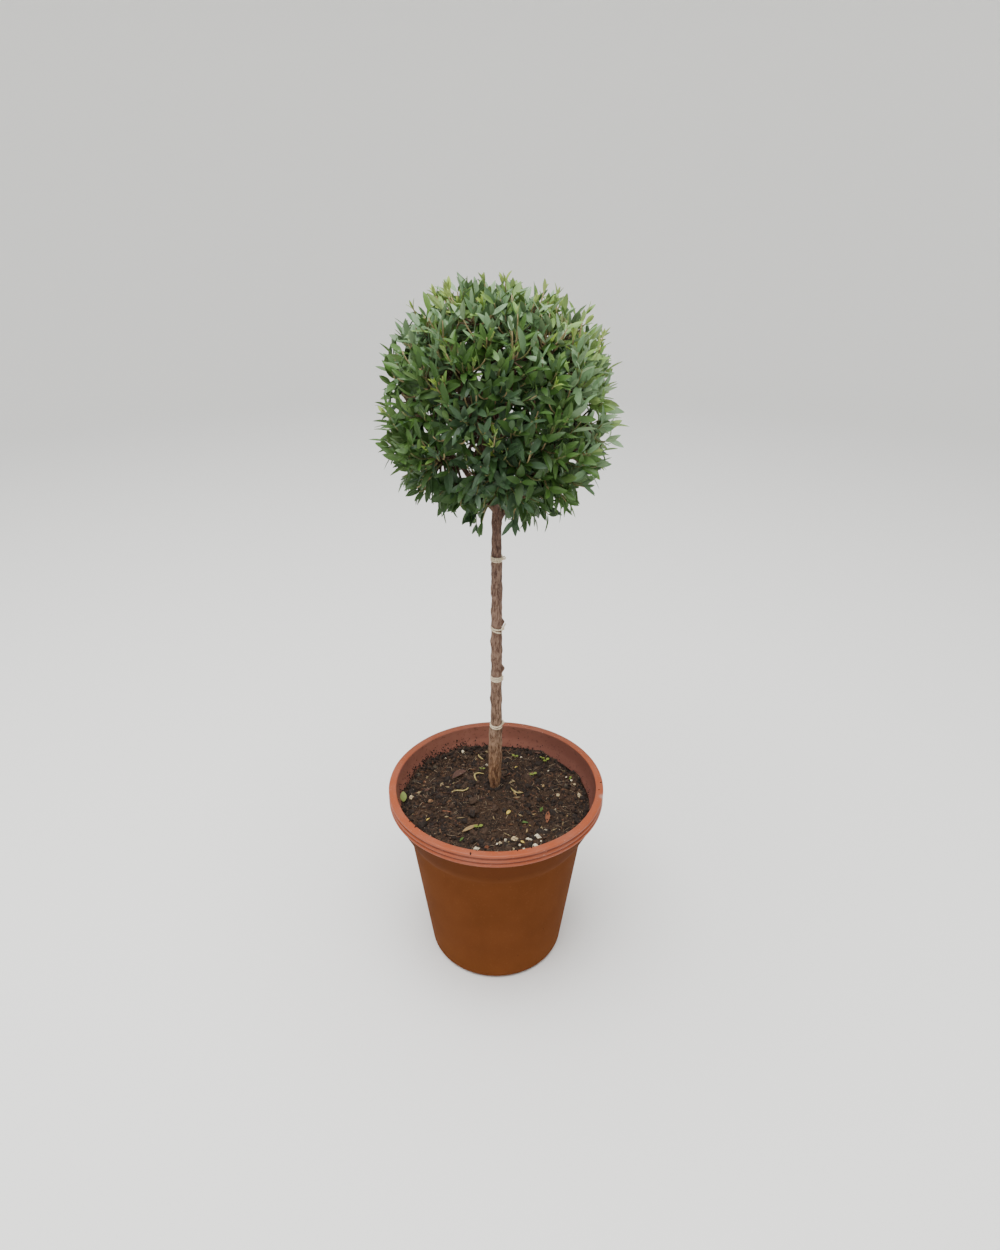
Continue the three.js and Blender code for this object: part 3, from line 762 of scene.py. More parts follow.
# Copies of one shape, each sized along its own axes, then tipped, turned and put in its place.
def scatter(name, shape, places, sizes, tips, turns, look):
    corners, faces = shape
    x, y, z = np.moveaxis(corners[None] * np.asarray(sizes)[:, None], -1, 0)
    tips, turns = np.asarray(tips)[:, None], np.asarray(turns)[:, None]
    y, z = y * np.cos(tips) - z * np.sin(tips), y * np.sin(tips) + z * np.cos(tips)
    x, y = x * np.cos(turns) - y * np.sin(turns), x * np.sin(turns) + y * np.cos(turns)
    placed = np.stack([x, y, z], axis=-1) + np.asarray(places)[:, None]
    return onCompost(joinedCopies(name, placed, faces), look)


def onGround(dice, count, inset=0.0):
    angle = dice.uniform(0, fullTurn, count)
    out = np.sqrt(dice.uniform(0.006, 1, count)) * (litter["reach"] - inset)
    return np.array([(x, y, groundAt(x, y)) for x, y in zip(out * np.cos(angle), out * np.sin(angle))])


# Crumbs that cling to the wall, most of them at the back left, and then those at its foot and the stem's.
def edgeCrumbs(dice):
    places = []
    count, middle, spread, rise, highest, inset = litter["wallCrumbs"]
    for i in range(count):
        angle = dice.normal(middle, spread) if i % 3 else dice.uniform(0, fullTurn)
        foot = groundAt(litter["reach"] * math.cos(angle), litter["reach"] * math.sin(angle))
        height = foot + min(dice.exponential(rise), highest)
        wall = innerWall(height) - inset
        places.append((wall * math.cos(angle), wall * math.sin(angle), height))
    for count, middle, reach, spread, power, lift in litter["ringCrumbs"]:
        for _ in range(count):
            angle, out = dice.uniform(0, fullTurn), reach + spread * dice.random() ** power
            x, y = middle[0] + out * math.cos(angle), middle[1] + out * math.sin(angle)
            places.append((x, y, groundAt(x, y) + lift * dice.random()))
    return places


def makeCrumbs():
    dice = np.random.default_rng(litter["seed"])
    small, big = lumpShape(1, 0.35), lumpShape(2, 0.5)
    fineX, fineY, fineReach = litter["fineMiddle"]
    for name, (count, sizes, colour) in litter["crumbs"].items():
        places = onGround(dice, count)
        if name == "Black":
            places = np.concatenate([places, edgeCrumbs(dice)])
        size = between(sizes, dice.random((len(places), 1)) ** 2)
        size[count:count + litter["wallCrumbs"][0]] *= 0.45
        size *= np.where(np.hypot(places[:, :1] - fineX, places[:, 1:2] - fineY) < fineReach, 0.5, 1.0)
        size = size * dice.uniform(0.6, 1.2, (len(places), 3))
        scatter(f"crumbs{name}", small, places, size, dice.uniform(0, 3, len(places)),
                dice.uniform(0, 6.3, len(places)), (f"barkCrumb{name}", colour, 0.9, 1.4, 0.004, 0.3, 0.25))
    for name, (count, colour) in litter["clods"].items():
        places = onGround(dice, count, 0.005)
        size = between(litter["clodSize"], dice.random((count, 1)) ** 2)
        size = size * dice.uniform((0.7, 0.7, 0.35), (1.3, 1.3, 0.7), (count, 3))
        scatter(f"clods{name}", big, places, size, dice.normal(0, 0.3, count), dice.uniform(0, 6.3, count),
                (f"compostClod{name}", colour, 0.92, 1.4, 0.002, 0.35, 0.25))
    for name, (count, colour) in litter["chips"].items():
        places = onGround(dice, count, 0.004) + up * 0.0005
        lengths, widths, thickness = litter["chipSize"]
        size = np.stack([between(lengths, dice.random(count)), between(widths, dice.random(count)),
                         np.full(count, thickness)], axis=1)
        scatter(f"chips{name}", small, places, size, dice.normal(0, 0.8, count), dice.uniform(0, 6.3, count),
                (f"barkChip{name}", colour, 0.85, 1.4, 0.003, 0.3, 0.25))
    makeFibres(dice)


def makeFibres(dice):
    steps = np.linspace(-0.5, 0.5, 6)
    for name, (count, colour) in litter["fibres"].items():
        starts = onGround(dice, count, 0.006)
        turns = dice.uniform(0, 6.3, count)[:, None]
        lengths = between(litter["fibreLength"], dice.random((count, 1)))
        curve = dice.normal(0, 0.5, (count, 1)) * steps ** 2
        x = starts[:, :1] + lengths * (np.cos(turns) * steps - np.sin(turns) * curve)
        y = starts[:, 1:2] + lengths * (np.sin(turns) * steps + np.cos(turns) * curve)
        low = np.array([[groundAt(a, b) for a, b in zip(*row)] for row in zip(x, y)]).mean(axis=1)[:, None]
        z = low + 0.0014 + dice.random((count, 1)) * 0.0022 * (1 - 4 * steps ** 2)
        radii = between(litter["fibreRadius"], dice.random((count, 1)) ** 2) * (1 - 2.4 * steps ** 2)
        tubes = tubeCorners(np.stack([x, y, z], axis=-1), radii, 4)
        onCompost(joinedCopies(f"fibres{name}", tubes, tubeFaces(6, 4)),
                  (f"woodFibre{name}", colour, 0.9, 1.4, 0.004, 0.25, 0.25))


def makeGrains():
    dice = np.random.default_rng(litter["seed"] + 1)
    shape = lumpShape(2, 0.55)
    for name, (colour, rows) in litter["lumps"].items():
        x, y, length, width = np.array(rows).T / 1000
        size = np.stack([length * 0.5, width * 0.5, np.minimum(length, width) * 0.4], axis=1)
        places = [(a, b, groundAt(a, b) + thick * 0.45) for a, b, thick in zip(x, y, size[:, 2])]
        piece = scatter(f"{name}Lumps", shape, places, size, dice.normal(0, 0.2, len(rows)),
                        dice.normal(0, 0.3, len(rows)),
                        (f"{name}Grit", colour, 0.95 if name == "perlite" else 0.7, 1.5, 0.0015, 0.16, 0.3))
        roundSmooth(piece, 35)


# A blade laid at a place in the plan, rising at its tip by a share of its length.
def laidBlade(x, y, length, width, turn, rise, fold, droop, lift):
    angle = math.radians(turn)
    direction = unit(np.array([math.cos(angle), math.sin(angle), rise]))
    across = unit(np.cross(up, direction))
    foot = np.array([x, y, groundAt(x, y) + lift]) - direction * length / 2 * (1 if rise < 0.3 else 0)
    return foot, direction, across, np.cross(direction, across), length, width, fold, droop


def makeDeadLeaves():
    dice = np.random.default_rng(litter["seed"] + 2)
    faces = bladeFaces()[0]
    for name, (colour, rows) in litter["deadLeaves"].items():
        blades = [
            laidBlade(*np.array(row[:4]) / 1000, row[4], dice.uniform(-0.05, 0.12), dice.uniform(0.2, 0.6),
                      dice.uniform(-0.12, 0.12), 0.0017)
            for row in rows]
        piece = joinedCopies(f"fallenLeaves{name}", bladeCorners(blades), faces)
        roundSmooth(onCompost(piece, (f"fallenLeaf{name}", colour, 0.65, 1.45, 0.003, 0.2, 0.3)), 20)
    parts = []
    for line in litter["curls"]:
        path = evenly(smoothLine([(x / 1000, y / 1000, 0) for x, y in line]), 0.0012)
        path[:, 2] = [groundAt(x, y) + 0.0026 for x, y, _ in path]
        path[:, 2] = path[:, 2].mean() * 0.8 + path[:, 2] * 0.2
        radii = 0.0004 + 0.0007 * np.sin(np.linspace(0, 1, len(path)) * math.pi)
        parts.append((tubeCorners(path[None], radii[None], 7)[0], tubeFaces(len(path), 7)))
    curls = onCompost(joinedParts("curledLeaves", parts), ("dryStraw", "#a3925e", 0.7, 1.45, 0.002, 0.25, 0.3))
    roundSmooth(curls, 60)


def makeSeedlings():
    blades, stalks = [], []
    for x, y, size, turn in litter["seedlings"]:
        x, y, size = x / 1000, y / 1000, size / 1000
        low = groundAt(x, y)
        top = low + size * 0.7
        stalks.append([(x, y, between((low - 0.001, top), share)) for share in np.linspace(0, 1, 4)])
        for half in (0, 180):
            each = laidBlade(x, y, size, size * 0.82, turn + half, 0.32, 0.15, 0.12, 0)
            blades.append((np.array([x, y, top]), *each[1:]))
    blades.append(laidBlade(*litter["broadLeaf"]))
    leaves = joinedCopies("seedlingLeaves", bladeCorners(blades), bladeFaces()[0])
    roundSmooth(onCompost(leaves, ("seedlingLeaf", "#6d7a2e", 0.5, 1.42, 0.003, 0.15)), 30)
    tubes = tubeCorners(np.array(stalks), np.full((len(stalks), 4), 0.00035), 6)
    onCompost(joinedCopies("seedlingStalks", tubes, tubeFaces(4, 6)),
              ("seedlingStalk", "#86a253", 0.5, 1.42, 0.003, 0.15))


# Crumbs caught on the rim's inner edge.
def makeRimMarks():
    places, sizes, turns = [], [], []
    for degrees, out, size in litter["rimMarks"]:
        angle = math.radians(degrees)
        places.append((out / 1000 * math.cos(angle), out / 1000 * math.sin(angle), pot["height"] - 0.0001))
        sizes.append((size * 0.0015, size * 0.0008, size * 0.0006))
        turns.append(angle + 0.4)
    scatter("rimCrumbs", lumpShape(1, 0.35), places, sizes, np.zeros(len(places)), turns,
            ("rimDirt", "#2a1d18", 0.9, 1.4, 0.002, 0.2, 0.25))


# Points at even steps along a line, and a line rounded between its points.
def evenly(points, step):
    points = np.asarray(points, dtype=float)
    reach = np.concatenate([[0], np.cumsum(np.linalg.norm(np.diff(points, axis=0), axis=1))])
    marks = np.linspace(0, reach[-1], max(4, int(reach[-1] / step)))
    return np.stack([np.interp(marks, reach, points[:, axis]) for axis in range(3)], axis=1)


def smoothLine(points):
    points = np.asarray(points, dtype=float)
    for _ in range(3):  # corners are cut three times over
        inner = np.empty((2 * len(points) - 2, 3))
        inner[0::2] = points[:-1] * 0.75 + points[1:] * 0.25
        inner[1::2] = points[:-1] * 0.25 + points[1:] * 0.75
        points = np.concatenate([points[:1], inner, points[-1:]])
    return points


makeCrumbs()
makeGrains()
makeDeadLeaves()
makeSeedlings()
makeRimMarks()
print("litter on the compost")

# The ties: twine of two plies wound round the stem, with a knot, a small loop and short ends.
twine = {
    "cordRadius": 0.00105,
    "sunk": 0.0008,  # how deep the twine has bedded into the bark
    "plyRadius": 0.00056,
    "plyOffset": 0.00050,
    "plyPitch": 0.0040,
    "step": 0.00055,
    "sides": 7,
    "ties": {  # height, turns, tilts at the start and the end, spread, where the knot is, its loop and its ends
        "tie_top": (0.5720, 3, ((0, 2), (0, -1)), 0.98, -14, 0.0015, (0.0, 0.0)),
        "tie_upper": (0.4815, 2, ((2, 0), (5, 15)), 1.5, -30, 0.0011, (0.006, 0.0)),
        "tie_lower": (0.4128, 3, ((0, -2), (2, 0)), 1.1, -12, 0.0, (0.0, 0.002)),
        "tie_foot": (0.3424, 2, ((9, -5), (6, 2)), 1.45, 4, 0.0010, (0.002, 0.0)),
    },
}

# Bark: shallow furrows drawn out along the limb, thin flakes that lift at their edges, and knots.
bark = {
    "swell": (0.0005, 0.015),  # height and length
    "furrows": (0.00034, 0.0022, 0.019),  # depth, width and length
    "flakes": (0.00030, 0.0042),  # lift and size
    "knots": [  # height, degrees round from the viewer's right towards the viewer, rise and spread
        (0.563, 188, 0.0012, 0.0030), (0.4250, -8, 0.0034, 0.0044), (0.4175, 60, 0.0009, 0.0035),
        (0.505, 160, 0.0008, 0.0035), (0.381, 195, 0.0009, 0.0040), (0.331, 178, 0.0017, 0.0090),
        (0.3345, 4, 0.0012, 0.0060), (0.452, 30, 0.0009, 0.0050), (0.362, 70, 0.0008, 0.0050),
        (0.316, 120, 0.0010, 0.0080), (0.292, 20, 0.0008, 0.0080), (0.548, 10, 0.0006, 0.0050),
        (0.4895, -6, 0.0024, 0.0030), (0.398, 100, 0.0007, 0.0050), (0.462, 185, 0.0009, 0.0045),
        (0.5275, 170, 0.0006, 0.0040),
    ],
}


def barkRelief(length, turn, radius):
    depth, width, reach = bark["furrows"]
    lift, size = bark["flakes"]
    wind = turn + length * 9
    x, y = math.cos(wind) * radius, math.sin(wind) * radius
    furrow = noise.noise(Vector((x / width, y / width, length / reach)))
    flake = noise.voronoi(Vector((x, y, length * 0.42)) / size)[0]
    return depth * (abs(furrow) * 2 - 0.6) + lift * (min((flake[1] - flake[0]) * 2.5, 1) - 0.5)


def trunkRelief(length, turn, radius):
    height, reach = bark["swell"]
    swell = noise.noise(Vector((math.cos(turn), math.sin(turn), length / reach)))
    rise = height * (swell * 2 + 0.9) + barkRelief(length, turn, radius)
    for place, degrees, lift, spread in bark["knots"]:
        if abs(length - place) < spread * 3:
            offset = (turn - math.radians(degrees) + math.pi) % fullTurn - math.pi
            away = math.hypot(offset * radius, (length - place) * 0.7) / spread
            rise += lift * math.exp(-away * away * 2)
    for place, turns, *_ in twine["ties"].values():
        away = abs(length - place) / (turns * twine["cordRadius"] * 1.2)
        if away < 3:
            rise -= twine["sunk"] * math.exp(-away ** 4)
    return rise


# A limb: a cylinder cut into rings, then placed round its curve with its taper and its bark.
def makeLimb(name, centreAt, radiusAt, reliefAt, sides, cuts, reference):
    startPiece()
    bpy.ops.mesh.primitive_cylinder_add(vertices=sides, radius=1, depth=1, end_fill_type="NGON")
    piece = bpy.context.object
    piece.name = piece.data.name = name
    for count in cuts:
        selectEdges(piece, lambda a, b: (a.xy - b.xy).length < 1e-4)
        bpy.ops.mesh.subdivide(number_cuts=count)
        bpy.ops.object.mode_set(mode="OBJECT")
    corners = np.array([vertex.co[:] for vertex in piece.data.vertices])
    shares, turns = corners[:, 2] + 0.5, np.arctan2(corners[:, 1], corners[:, 0])
    ahead = unit(centreAt(shares + 0.01) - centreAt(shares - 0.01))
    side = unit(np.cross(ahead, reference))
    back = np.cross(side, ahead)
    radii = radiusAt(shares)
    relief = np.array([reliefAt(*each) for each in zip(shares, turns, radii)])
    out = side * np.cos(turns)[:, None] + back * np.sin(turns)[:, None]
    piece.data.vertices.foreach_set("co", (centreAt(shares) + out * (radii + relief)[:, None]).ravel())
    piece.data.update()
    bpy.ops.object.mode_set(mode="EDIT")
    bpy.ops.mesh.select_all(action="SELECT")
    bpy.ops.mesh.normals_make_consistent(inside=False)
    bpy.ops.object.mode_set(mode="OBJECT")
    return piece


def flakingBark():  # thin grey-brown flakes over orange-brown at the foot, fibrous and pinker higher up
    material, tree, place = newMaterial("flakingBark", roughness=0.86, ior=1.45, specular=0.3)
    height = addNode(tree, "ShaderNodeSeparateXYZ", links={"Vector": place}, output="Z")
    height = addNode(tree, "ShaderNodeMapRange", {"From Min": 0.24, "From Max": 0.66}, {"Value": height})
    # both ramps are darkest at the very foot: painted shade where the stem goes into the compost
    flakes = addNode(tree, "ShaderNodeValToRGB", {}, {"Fac": height}, [
        (0.0, "#5d3f2a"), (1.0, "#5c4136"), (0.06, "#957253"), (0.22, "#8e735f"), (0.45, "#7b6253"),
        (0.7, "#866c5d"), (0.84, "#6b5246")])
    under = addNode(tree, "ShaderNodeValToRGB", {}, {"Fac": height}, [
        (0.0, "#3c2517"), (1.0, "#3e2821"), (0.1, "#5c3c27"), (0.25, "#4f392b"), (0.6, "#553c32"),
        (0.78, "#4b352d")])
    # streaks 2.4 mm wide drawn out up the stem, blotches of 6 mm, and fibres, drawn 0.9 mm coarse to show
    drawn = addNode(tree, "ShaderNodeMapping", {"Scale": (1, 1, 0.24)}, {"Vector": place})
    streaks = addNode(
        tree, "ShaderNodeTexNoise", {"Scale": 1 / 0.0024, "Detail": 4.0, "Distortion": 0.8}, {"Vector": drawn})
    halfDrawn = addNode(tree, "ShaderNodeMapping", {"Scale": (1, 1, 0.5)}, {"Vector": place})
    blotches = addNode(
        tree, "ShaderNodeTexNoise", {"Scale": 1 / 0.006, "Detail": 3.0, "Distortion": 1.0},
        {"Vector": halfDrawn})
    fine = addNode(tree, "ShaderNodeTexNoise", {"Scale": 1 / 0.0009, "Detail": 3.0}, {"Vector": drawn})
    colour = layColours(
        tree, under, (flakes, streaks, 0.38, 0.57, 1.0),  # in streaks
        (under, blotches, 0.53, 0.64, 0.55),  # and gone in blotches
        ("#b09a87", fine, 0.55, 0.72, 0.35))
    return cover(material, colour, fine, 0.7, 0.0004)


def makeTrunk():
    foot, tip = stem["line"][0][2], stem["line"][-1][2]
    piece = makeLimb(
        "barkTrunk",
        lambda share: stemCentre(foot + (tip - foot) * share),
        lambda share: stemRadius(foot + (tip - foot) * share),
        lambda share, turn, radius: trunkRelief(foot + (tip - foot) * share, turn, radius),
        stem["sides"], stem["cuts"], (0, -1, 0))
    settle(piece, "bark", [flakingBark()], "trunk")
    roundSmooth(piece, 70)


makeTrunk()
print("trunk")


def twistedTwine():  # undyed cotton twine: soft, pale, matt, its fibres running round each ply
    material, tree, place = newMaterial("undyedTwine", roughness=0.88, ior=1.5, specular=0.3)
    tree.nodes["Principled BSDF"].inputs["Sheen Weight"].default_value = 0.25
    # fibres, drawn 0.9 mm coarse so that they show
    fibres = addNode(tree, "ShaderNodeTexNoise", {"Scale": 1 / 0.0009, "Detail": 3.0}, {"Vector": place})
    colour = addNode(tree, "ShaderNodeValToRGB", {}, {"Fac": fibres}, [
        (0.3, "#9a8260"), (0.5, "#e4d4b5"), (0.75, "#f5ecd9")])
    return cover(material, colour, fibres, 0.6, 0.0002)


# The two plies wind round the twine's own line.
def plies(line):
    along = unit(np.gradient(line, axis=0))
    side = unit(np.cross(along, [0.1, 0.2, 1.0]))
    back = np.cross(along, side)
    turn = np.arange(len(line)) * twine["step"] / twine["plyPitch"] * fullTurn
    turns = [(turn + start)[:, None] for start in (0, math.pi)]
    return [line + (side * np.cos(turn) + back * np.sin(turn)) * twine["plyOffset"] for turn in turns]


# The lines of a tie: its turns, its knot, and its loop and ends where it has them.
def tieLines(height, turns, tilts, spread, knotTurn, loop, ends):
    middle, cord = stemCentre(height), twine["cordRadius"]
    reach = float(stemRadius(height)) + cord - twine["sunk"]
    start, knot = math.radians(knotTurn), reach + cord * 1.1

    def around(turn, out, rise, share=0.0):
        x, y = out * math.cos(turn), out * math.sin(turn)
        tiltX, tiltY = [math.radians(between([tilt[axis] for tilt in tilts], share)) for axis in (0, 1)]
        return middle + [x, y, rise + y * math.tan(tiltX) - x * math.tan(tiltY)]

    steps, pitch = 40 * turns, 2 * cord * spread
    lines = [[around(start + fullTurn * turns * i / steps, reach, pitch * turns * (0.5 - i / steps), i / steps)
              for i in range(steps + 1)]]
    lines.append([around(start + 0.8 * cord / reach * math.cos(a), knot + cord * 0.5 * math.sin(2 * a),
                         cord * 1.3 * math.sin(a)) for a in np.linspace(0, fullTurn * 1.15, 26)])
    if loop:
        lines.append([around(start, knot + loop * (1 - math.cos(a)) + 0.0002, cord * 1.2 + loop * math.sin(a))
                      for a in np.linspace(-0.6, fullTurn - 0.9, 30)])
    for end, lean, way in zip(ends, (0.3, -0.4), (1, -0.8)):
        if end:
            lines.append([around(start + t * lean, knot + end * t * 0.55, (cord * 0.8 + end * t) * way)
                          for t in np.linspace(0, 1, 8)])
    return lines


def makeTies():
    material = twistedTwine()
    for node, tie in twine["ties"].items():
        parts = []
        for line in tieLines(*tie):
            for ply in plies(evenly(line, twine["step"])):
                tube = tubeCorners(ply[None], np.full((1, len(ply)), twine["plyRadius"]), twine["sides"])
                parts.append((tube[0], tubeFaces(len(ply), twine["sides"])))
        roundSmooth(settle(joinedParts(f"twine_{node}", parts), "twine", [material], node), 80)


makeTies()
print("ties")

# The crown grows by the same rule as the solids: boughs, masses about their seeds, and shoots that
# aim at even places on the ball. Here fine twigs go on from the shoots, with leaves at life size.
crown = {
    "centre": np.array([0.0013, 0.014, 0.749]),
    "massesInTier": 4,
    "tiers": {  # turn of the first, the seed's and the bough's end reach and rise, fork and its step, radii
        "low": (22, (0.068, -0.040), (0.036, -0.070), 0.614, 0.007, (0.0036, 0.0028)),
        "high": (67, (0.062, 0.032), (0.027, -0.014), 0.662, 0.008, (0.0032, 0.0026)),
    },
    "topSeedRise": 0.068,
    "boughSag": 0.005,
    "touchGap": 0.00035,
    "foliageSeed": 23,
    "shootCount": 112,
    "lowestShoot": -0.96,
    "shootReach": 0.105,
    "shootUnevenness": 0.1,
    "shootSag": (0.0045, 0.0135),
    "shootStarts": (0.3, 0.9),
}
goldenAngle = math.pi * (3 - math.sqrt(5))


def seededStream(state):
    mask = 0xFFFFFFFF
    while True:
        state = (state + 0x6D2B79F5) & mask
        mixed = ((state ^ (state >> 15)) * (state | 1)) & mask
        mixed ^= (mixed + (mixed ^ (mixed >> 7)) * (mixed | 61)) & mask
        yield (mixed ^ (mixed >> 14)) / 2 ** 32


# A quadratic curve's points at the given shares.
def bend(start, middle, end, shares):
    shares = np.asarray(shares)[..., None]
    return (1 - shares) ** 2 * start + 2 * shares * (1 - shares) * middle + shares ** 2 * end


def aroundCrown(turn, reach, rise):
    angle = math.radians(turn)
    return crown["centre"] + [reach * math.cos(angle), reach * math.sin(angle), rise]


# One mass: its seed, its bough if it has one, and the curve of its stem, which goes on from the bough's tip.
def planMass(name, seed, bough, root, along, radii):
    along = unit(along)
    start = root + along * crown["touchGap"]
    middle = start + along * np.linalg.norm(start - seed) / 2
    return {"name": name, "seed": seed, "bough": bough, "radii": radii, "stem": (start, middle, seed)}


def crownPlan():
    masses = []
    for label, (firstTurn, seed, end, fork, step, radii) in crown["tiers"].items():
        for i in range(crown["massesInTier"]):
            turn = firstTurn + 360 / crown["massesInTier"] * i
            foot, tip = stemCentre(fork + step * i), aroundCrown(turn, *end)
            middle = (foot + tip) / 2 - up * crown["boughSag"]
            masses.append(planMass(
                f"{label}_{i + 1}", aroundCrown(turn, *seed), (foot, middle, tip), tip, tip - middle, radii))
    tip = stemCentre(stem["line"][-1][2])
    ahead = tip - stemCentre(tip[2] - 0.02)
    seed = crown["centre"] + up * crown["topSeedRise"]
    return [*masses, planMass("top", seed, None, tip, ahead, (0, float(stemRadius(tip[2]))))]


def nearestMass(point):
    return min(range(len(masses)), key=lambda i: np.linalg.norm(point - masses[i]["seed"]))


# The i-th of so many even directions on a ball, from the top down to the lowest height.
def evenAim(i, count, lowest):
    height = between((1, lowest), (i + 0.5) / count)
    across, turn = math.sqrt(1 - height ** 2), i * goldenAngle
    return np.array([across * math.cos(turn), across * math.sin(turn), height])


def growShoots():
    random = seededStream(crown["foliageSeed"])
    shoots = []
    for i in range(crown["shootCount"]):
        aim = evenAim(i, crown["shootCount"], crown["lowestShoot"])
        reach = crown["shootReach"] * (1 + crown["shootUnevenness"] * (next(random) - 0.5))
        tip = crown["centre"] + aim * reach
        mass = nearestMass(tip)
        start = bend(*masses[mass]["stem"], between(crown["shootStarts"], next(random)))
        middle = (start + tip) / 2 - up * between(crown["shootSag"], next(random))
        shoots.append({"mass": mass, "curve": (start, middle, tip), "turn": next(random) * math.pi})
    return shoots


masses = crownPlan()
shoots = growShoots()

skyGaps = [  # right and up of the crown's centre as the camera sees it, and radius
    (-0.0564, -0.0693, 0.0032), (-0.0365, -0.0765, 0.0032), (-0.0307, -0.0723, 0.0016),
    (-0.111, 0.0262, 0.0024), (-0.098, 0.0043, 0.0024), (-0.1058, -0.0087, 0.0018),
    (0.0797, -0.0612, 0.0018), (0.0935, -0.0105, 0.0028), (0.1035, -0.0141, 0.0018),
    (-0.0383, -0.1124, 0.003), (-0.1018, -0.0777, 0.002), (0.0895, -0.0947, 0.0034),
    (0.0057, -0.1179, 0.0036), (-0.0996, 0.0597, 0.0016), (0.0805, 0.0894, 0.002), (-0.0751, 0.0988, 0.002),
    (0.1138, -0.0368, 0.0024), (-0.0757, -0.0279, 0.0014),
]
# Where the stem shows under the crown, seen the same way: its middle, half width and top.
bareStem = (-0.0040, 0.0080, -0.112)


# The camera's own view of the crown: where it stands, what lies ahead of it, and what is up.
eye = np.array(camera["place"])
tilt = math.radians(camera["pitchDown"])
ahead = np.array([0, math.cos(tilt), -math.sin(tilt)])
above = np.array([0, math.sin(tilt), math.cos(tilt)])


# Where the camera sees a point, as right and up of the crown's centre in the plane through it.
def asSeen(points):
    reach = (crown["centre"] - eye) @ ahead

    def flat(place):
        offset = place - eye
        return np.stack([offset[..., 0], offset @ above], axis=-1) / (offset @ ahead)[..., None] * reach

    return flat(points) - flat(crown["centre"])


youngSprays = [  # where fresh sprays stand on the near side, read the same way
    (-0.0857, 0.097, 0.01), (-0.0718, 0.1118, 0.0071), (-0.0473, 0.1014, 0.0077), (-0.0162, 0.131, 0.0077),
    (-0.0044, 0.1236, 0.0071), (0.0104, 0.1339, 0.006), (-0.0068, 0.0822, 0.006), (0.0296, 0.1177, 0.0071),
    (0.0444, 0.1147, 0.009), (0.0642, 0.1177, 0.009), (0.0621, 0.0852, 0.0085), (0.0207, 0.0467, 0.0083),
    (-0.0015, 0.0527, 0.006), (-0.0236, 0.029, 0.0065), (-0.0561, 0.0083, 0.0083), (0.0916, 0.0793, 0.009),
    (0.1108, 0.0875, 0.006), (0.1108, 0.0541, 0.0085), (0.1227, 0.0379, 0.0085), (-0.1152, -0.0248, 0.0071),
    (-0.0266, -0.0404, 0.006), (0.0015, -0.0478, 0.0089), (0.0045, -0.0759, 0.006), (0.0946, -0.0286, 0.006),
    (0.0384, -0.0301, 0.006), (0.0606, 0.0556, 0.0065), (-0.031, 0.128, 0.006),
]

# Fresh sprays stand where they were seen on the near side, and anywhere high up or on the far side.
def isGrowing(dice, aim, tip):
    chance, high = dice.random(), max(0.0, aim[2] - 0.35)
    if aim[1] > 0.35:
        return chance < 0.03 + 0.34 * high
    seen = asSeen(tip)
    return chance < 0.006 + 0.34 * high or any(
        math.hypot(seen[0] - right, seen[1] - rise) < radius for right, rise, radius in youngSprays)


# Fine twigs: even aims again, each from the nearest shoot, turning upwards as they reach the light.
twigRule = {
    "count": 960,
    "extra": ((-0.36, -0.02, 0.93), (-0.29, -0.12, 0.95), (-0.43, -0.10, 0.90), (-0.35, -0.09, 0.93)),  # on top
    "seed": 7,
    "lowest": -0.97,
    "reach": 0.1138,
    "unevenness": 0.21,
    "freshReach": 0.0075,  # how far the fresh sprays have grown out since it was clipped
    "wander": 0.04,
    "hang": 0.065,  # how much further the lowest ones reach
    "squareness": (-0.03, -0.004, 0.018),  # how much fuller low down, high up, and further on the right
    "flattened": 0.12,
    "dip": (0.33, 0.2, 0.26),  # the top is lower on the right: where, how wide, how deep
    "outline": (  # how many millimetres fuller, every 15 degrees round from the right, as the camera sees it
        -10, 0, 0, -3, 3, -5, -2, 3, -3, 4, -3, -2, -2, -2, 6, 0, -6, 0, 6, 2, 2, 10, 6, 3),
    "forkShares": (0.35, 0.5, 0.65, 0.8, 0.92),
    "risesAt": (-0.92, -0.55, -0.15, 0.4),
    "rises": (-0.3, 0.5, 2.6, 2.4),
    "turning": 0.68,  # how soon a twig turns its own way
    "baseRadius": 0.00095,
    "tipRadius": 0.0006,
    "stubs": (0.0005, 0.0045),
    "stemTip": 0.0016,
    "shootRadii": (0.0017, 0.0009),
    "steps": 7,
    "sides": 6,
    "ripeSteps": 2,
    "colours": {"Olive": "#686a3e", "Tan": "#8d7d57"},
}


# How full the ball is towards a side, as a share of its reach: clipped by hand, it isn't quite round.
def fullness(aim):
    corner = 2 * aim[2] * math.hypot(aim[0], aim[1])
    lowShare, highShare, rightShare = twigRule["squareness"]
    full = 1 + (corner * (highShare + rightShare * aim[0]) if corner > 0 else corner * lowShare)
    hanging, high = np.clip(-aim[2] * 5 - 3.6, 0, 1), max(0.0, aim[2] - 0.72)
    full += twigRule["hang"] * hanging - twigRule["flattened"] * high

    steps = twigRule["outline"]
    turn = (math.degrees(math.atan2(aim @ above, aim[0])) % 360) / 360 * len(steps)
    further = np.interp(turn, range(len(steps) + 1), [*steps, steps[0]]) / 1000 / twigRule["reach"]
    full += further * math.exp(-((aim @ ahead + 0.14) / 0.45) ** 2)

    dipAt, dipWidth, dipDepth = twigRule["dip"]
    return full - dipDepth * max(0.0, aim[2] - 0.6) * math.exp(-((aim[0] - dipAt) / dipWidth) ** 2)


# Whether a twig would cross a gap where the sky shows, or the stem where it shows bare.
def closesGap(seen):
    middle, half, top = bareStem
    return (abs(seen[-1, 0] - middle) < half and seen[-1, 1] < top) or any(
        np.linalg.norm(seen - [right, rise], axis=1).min() < radius + 0.0008 for right, rise, radius in skyGaps)


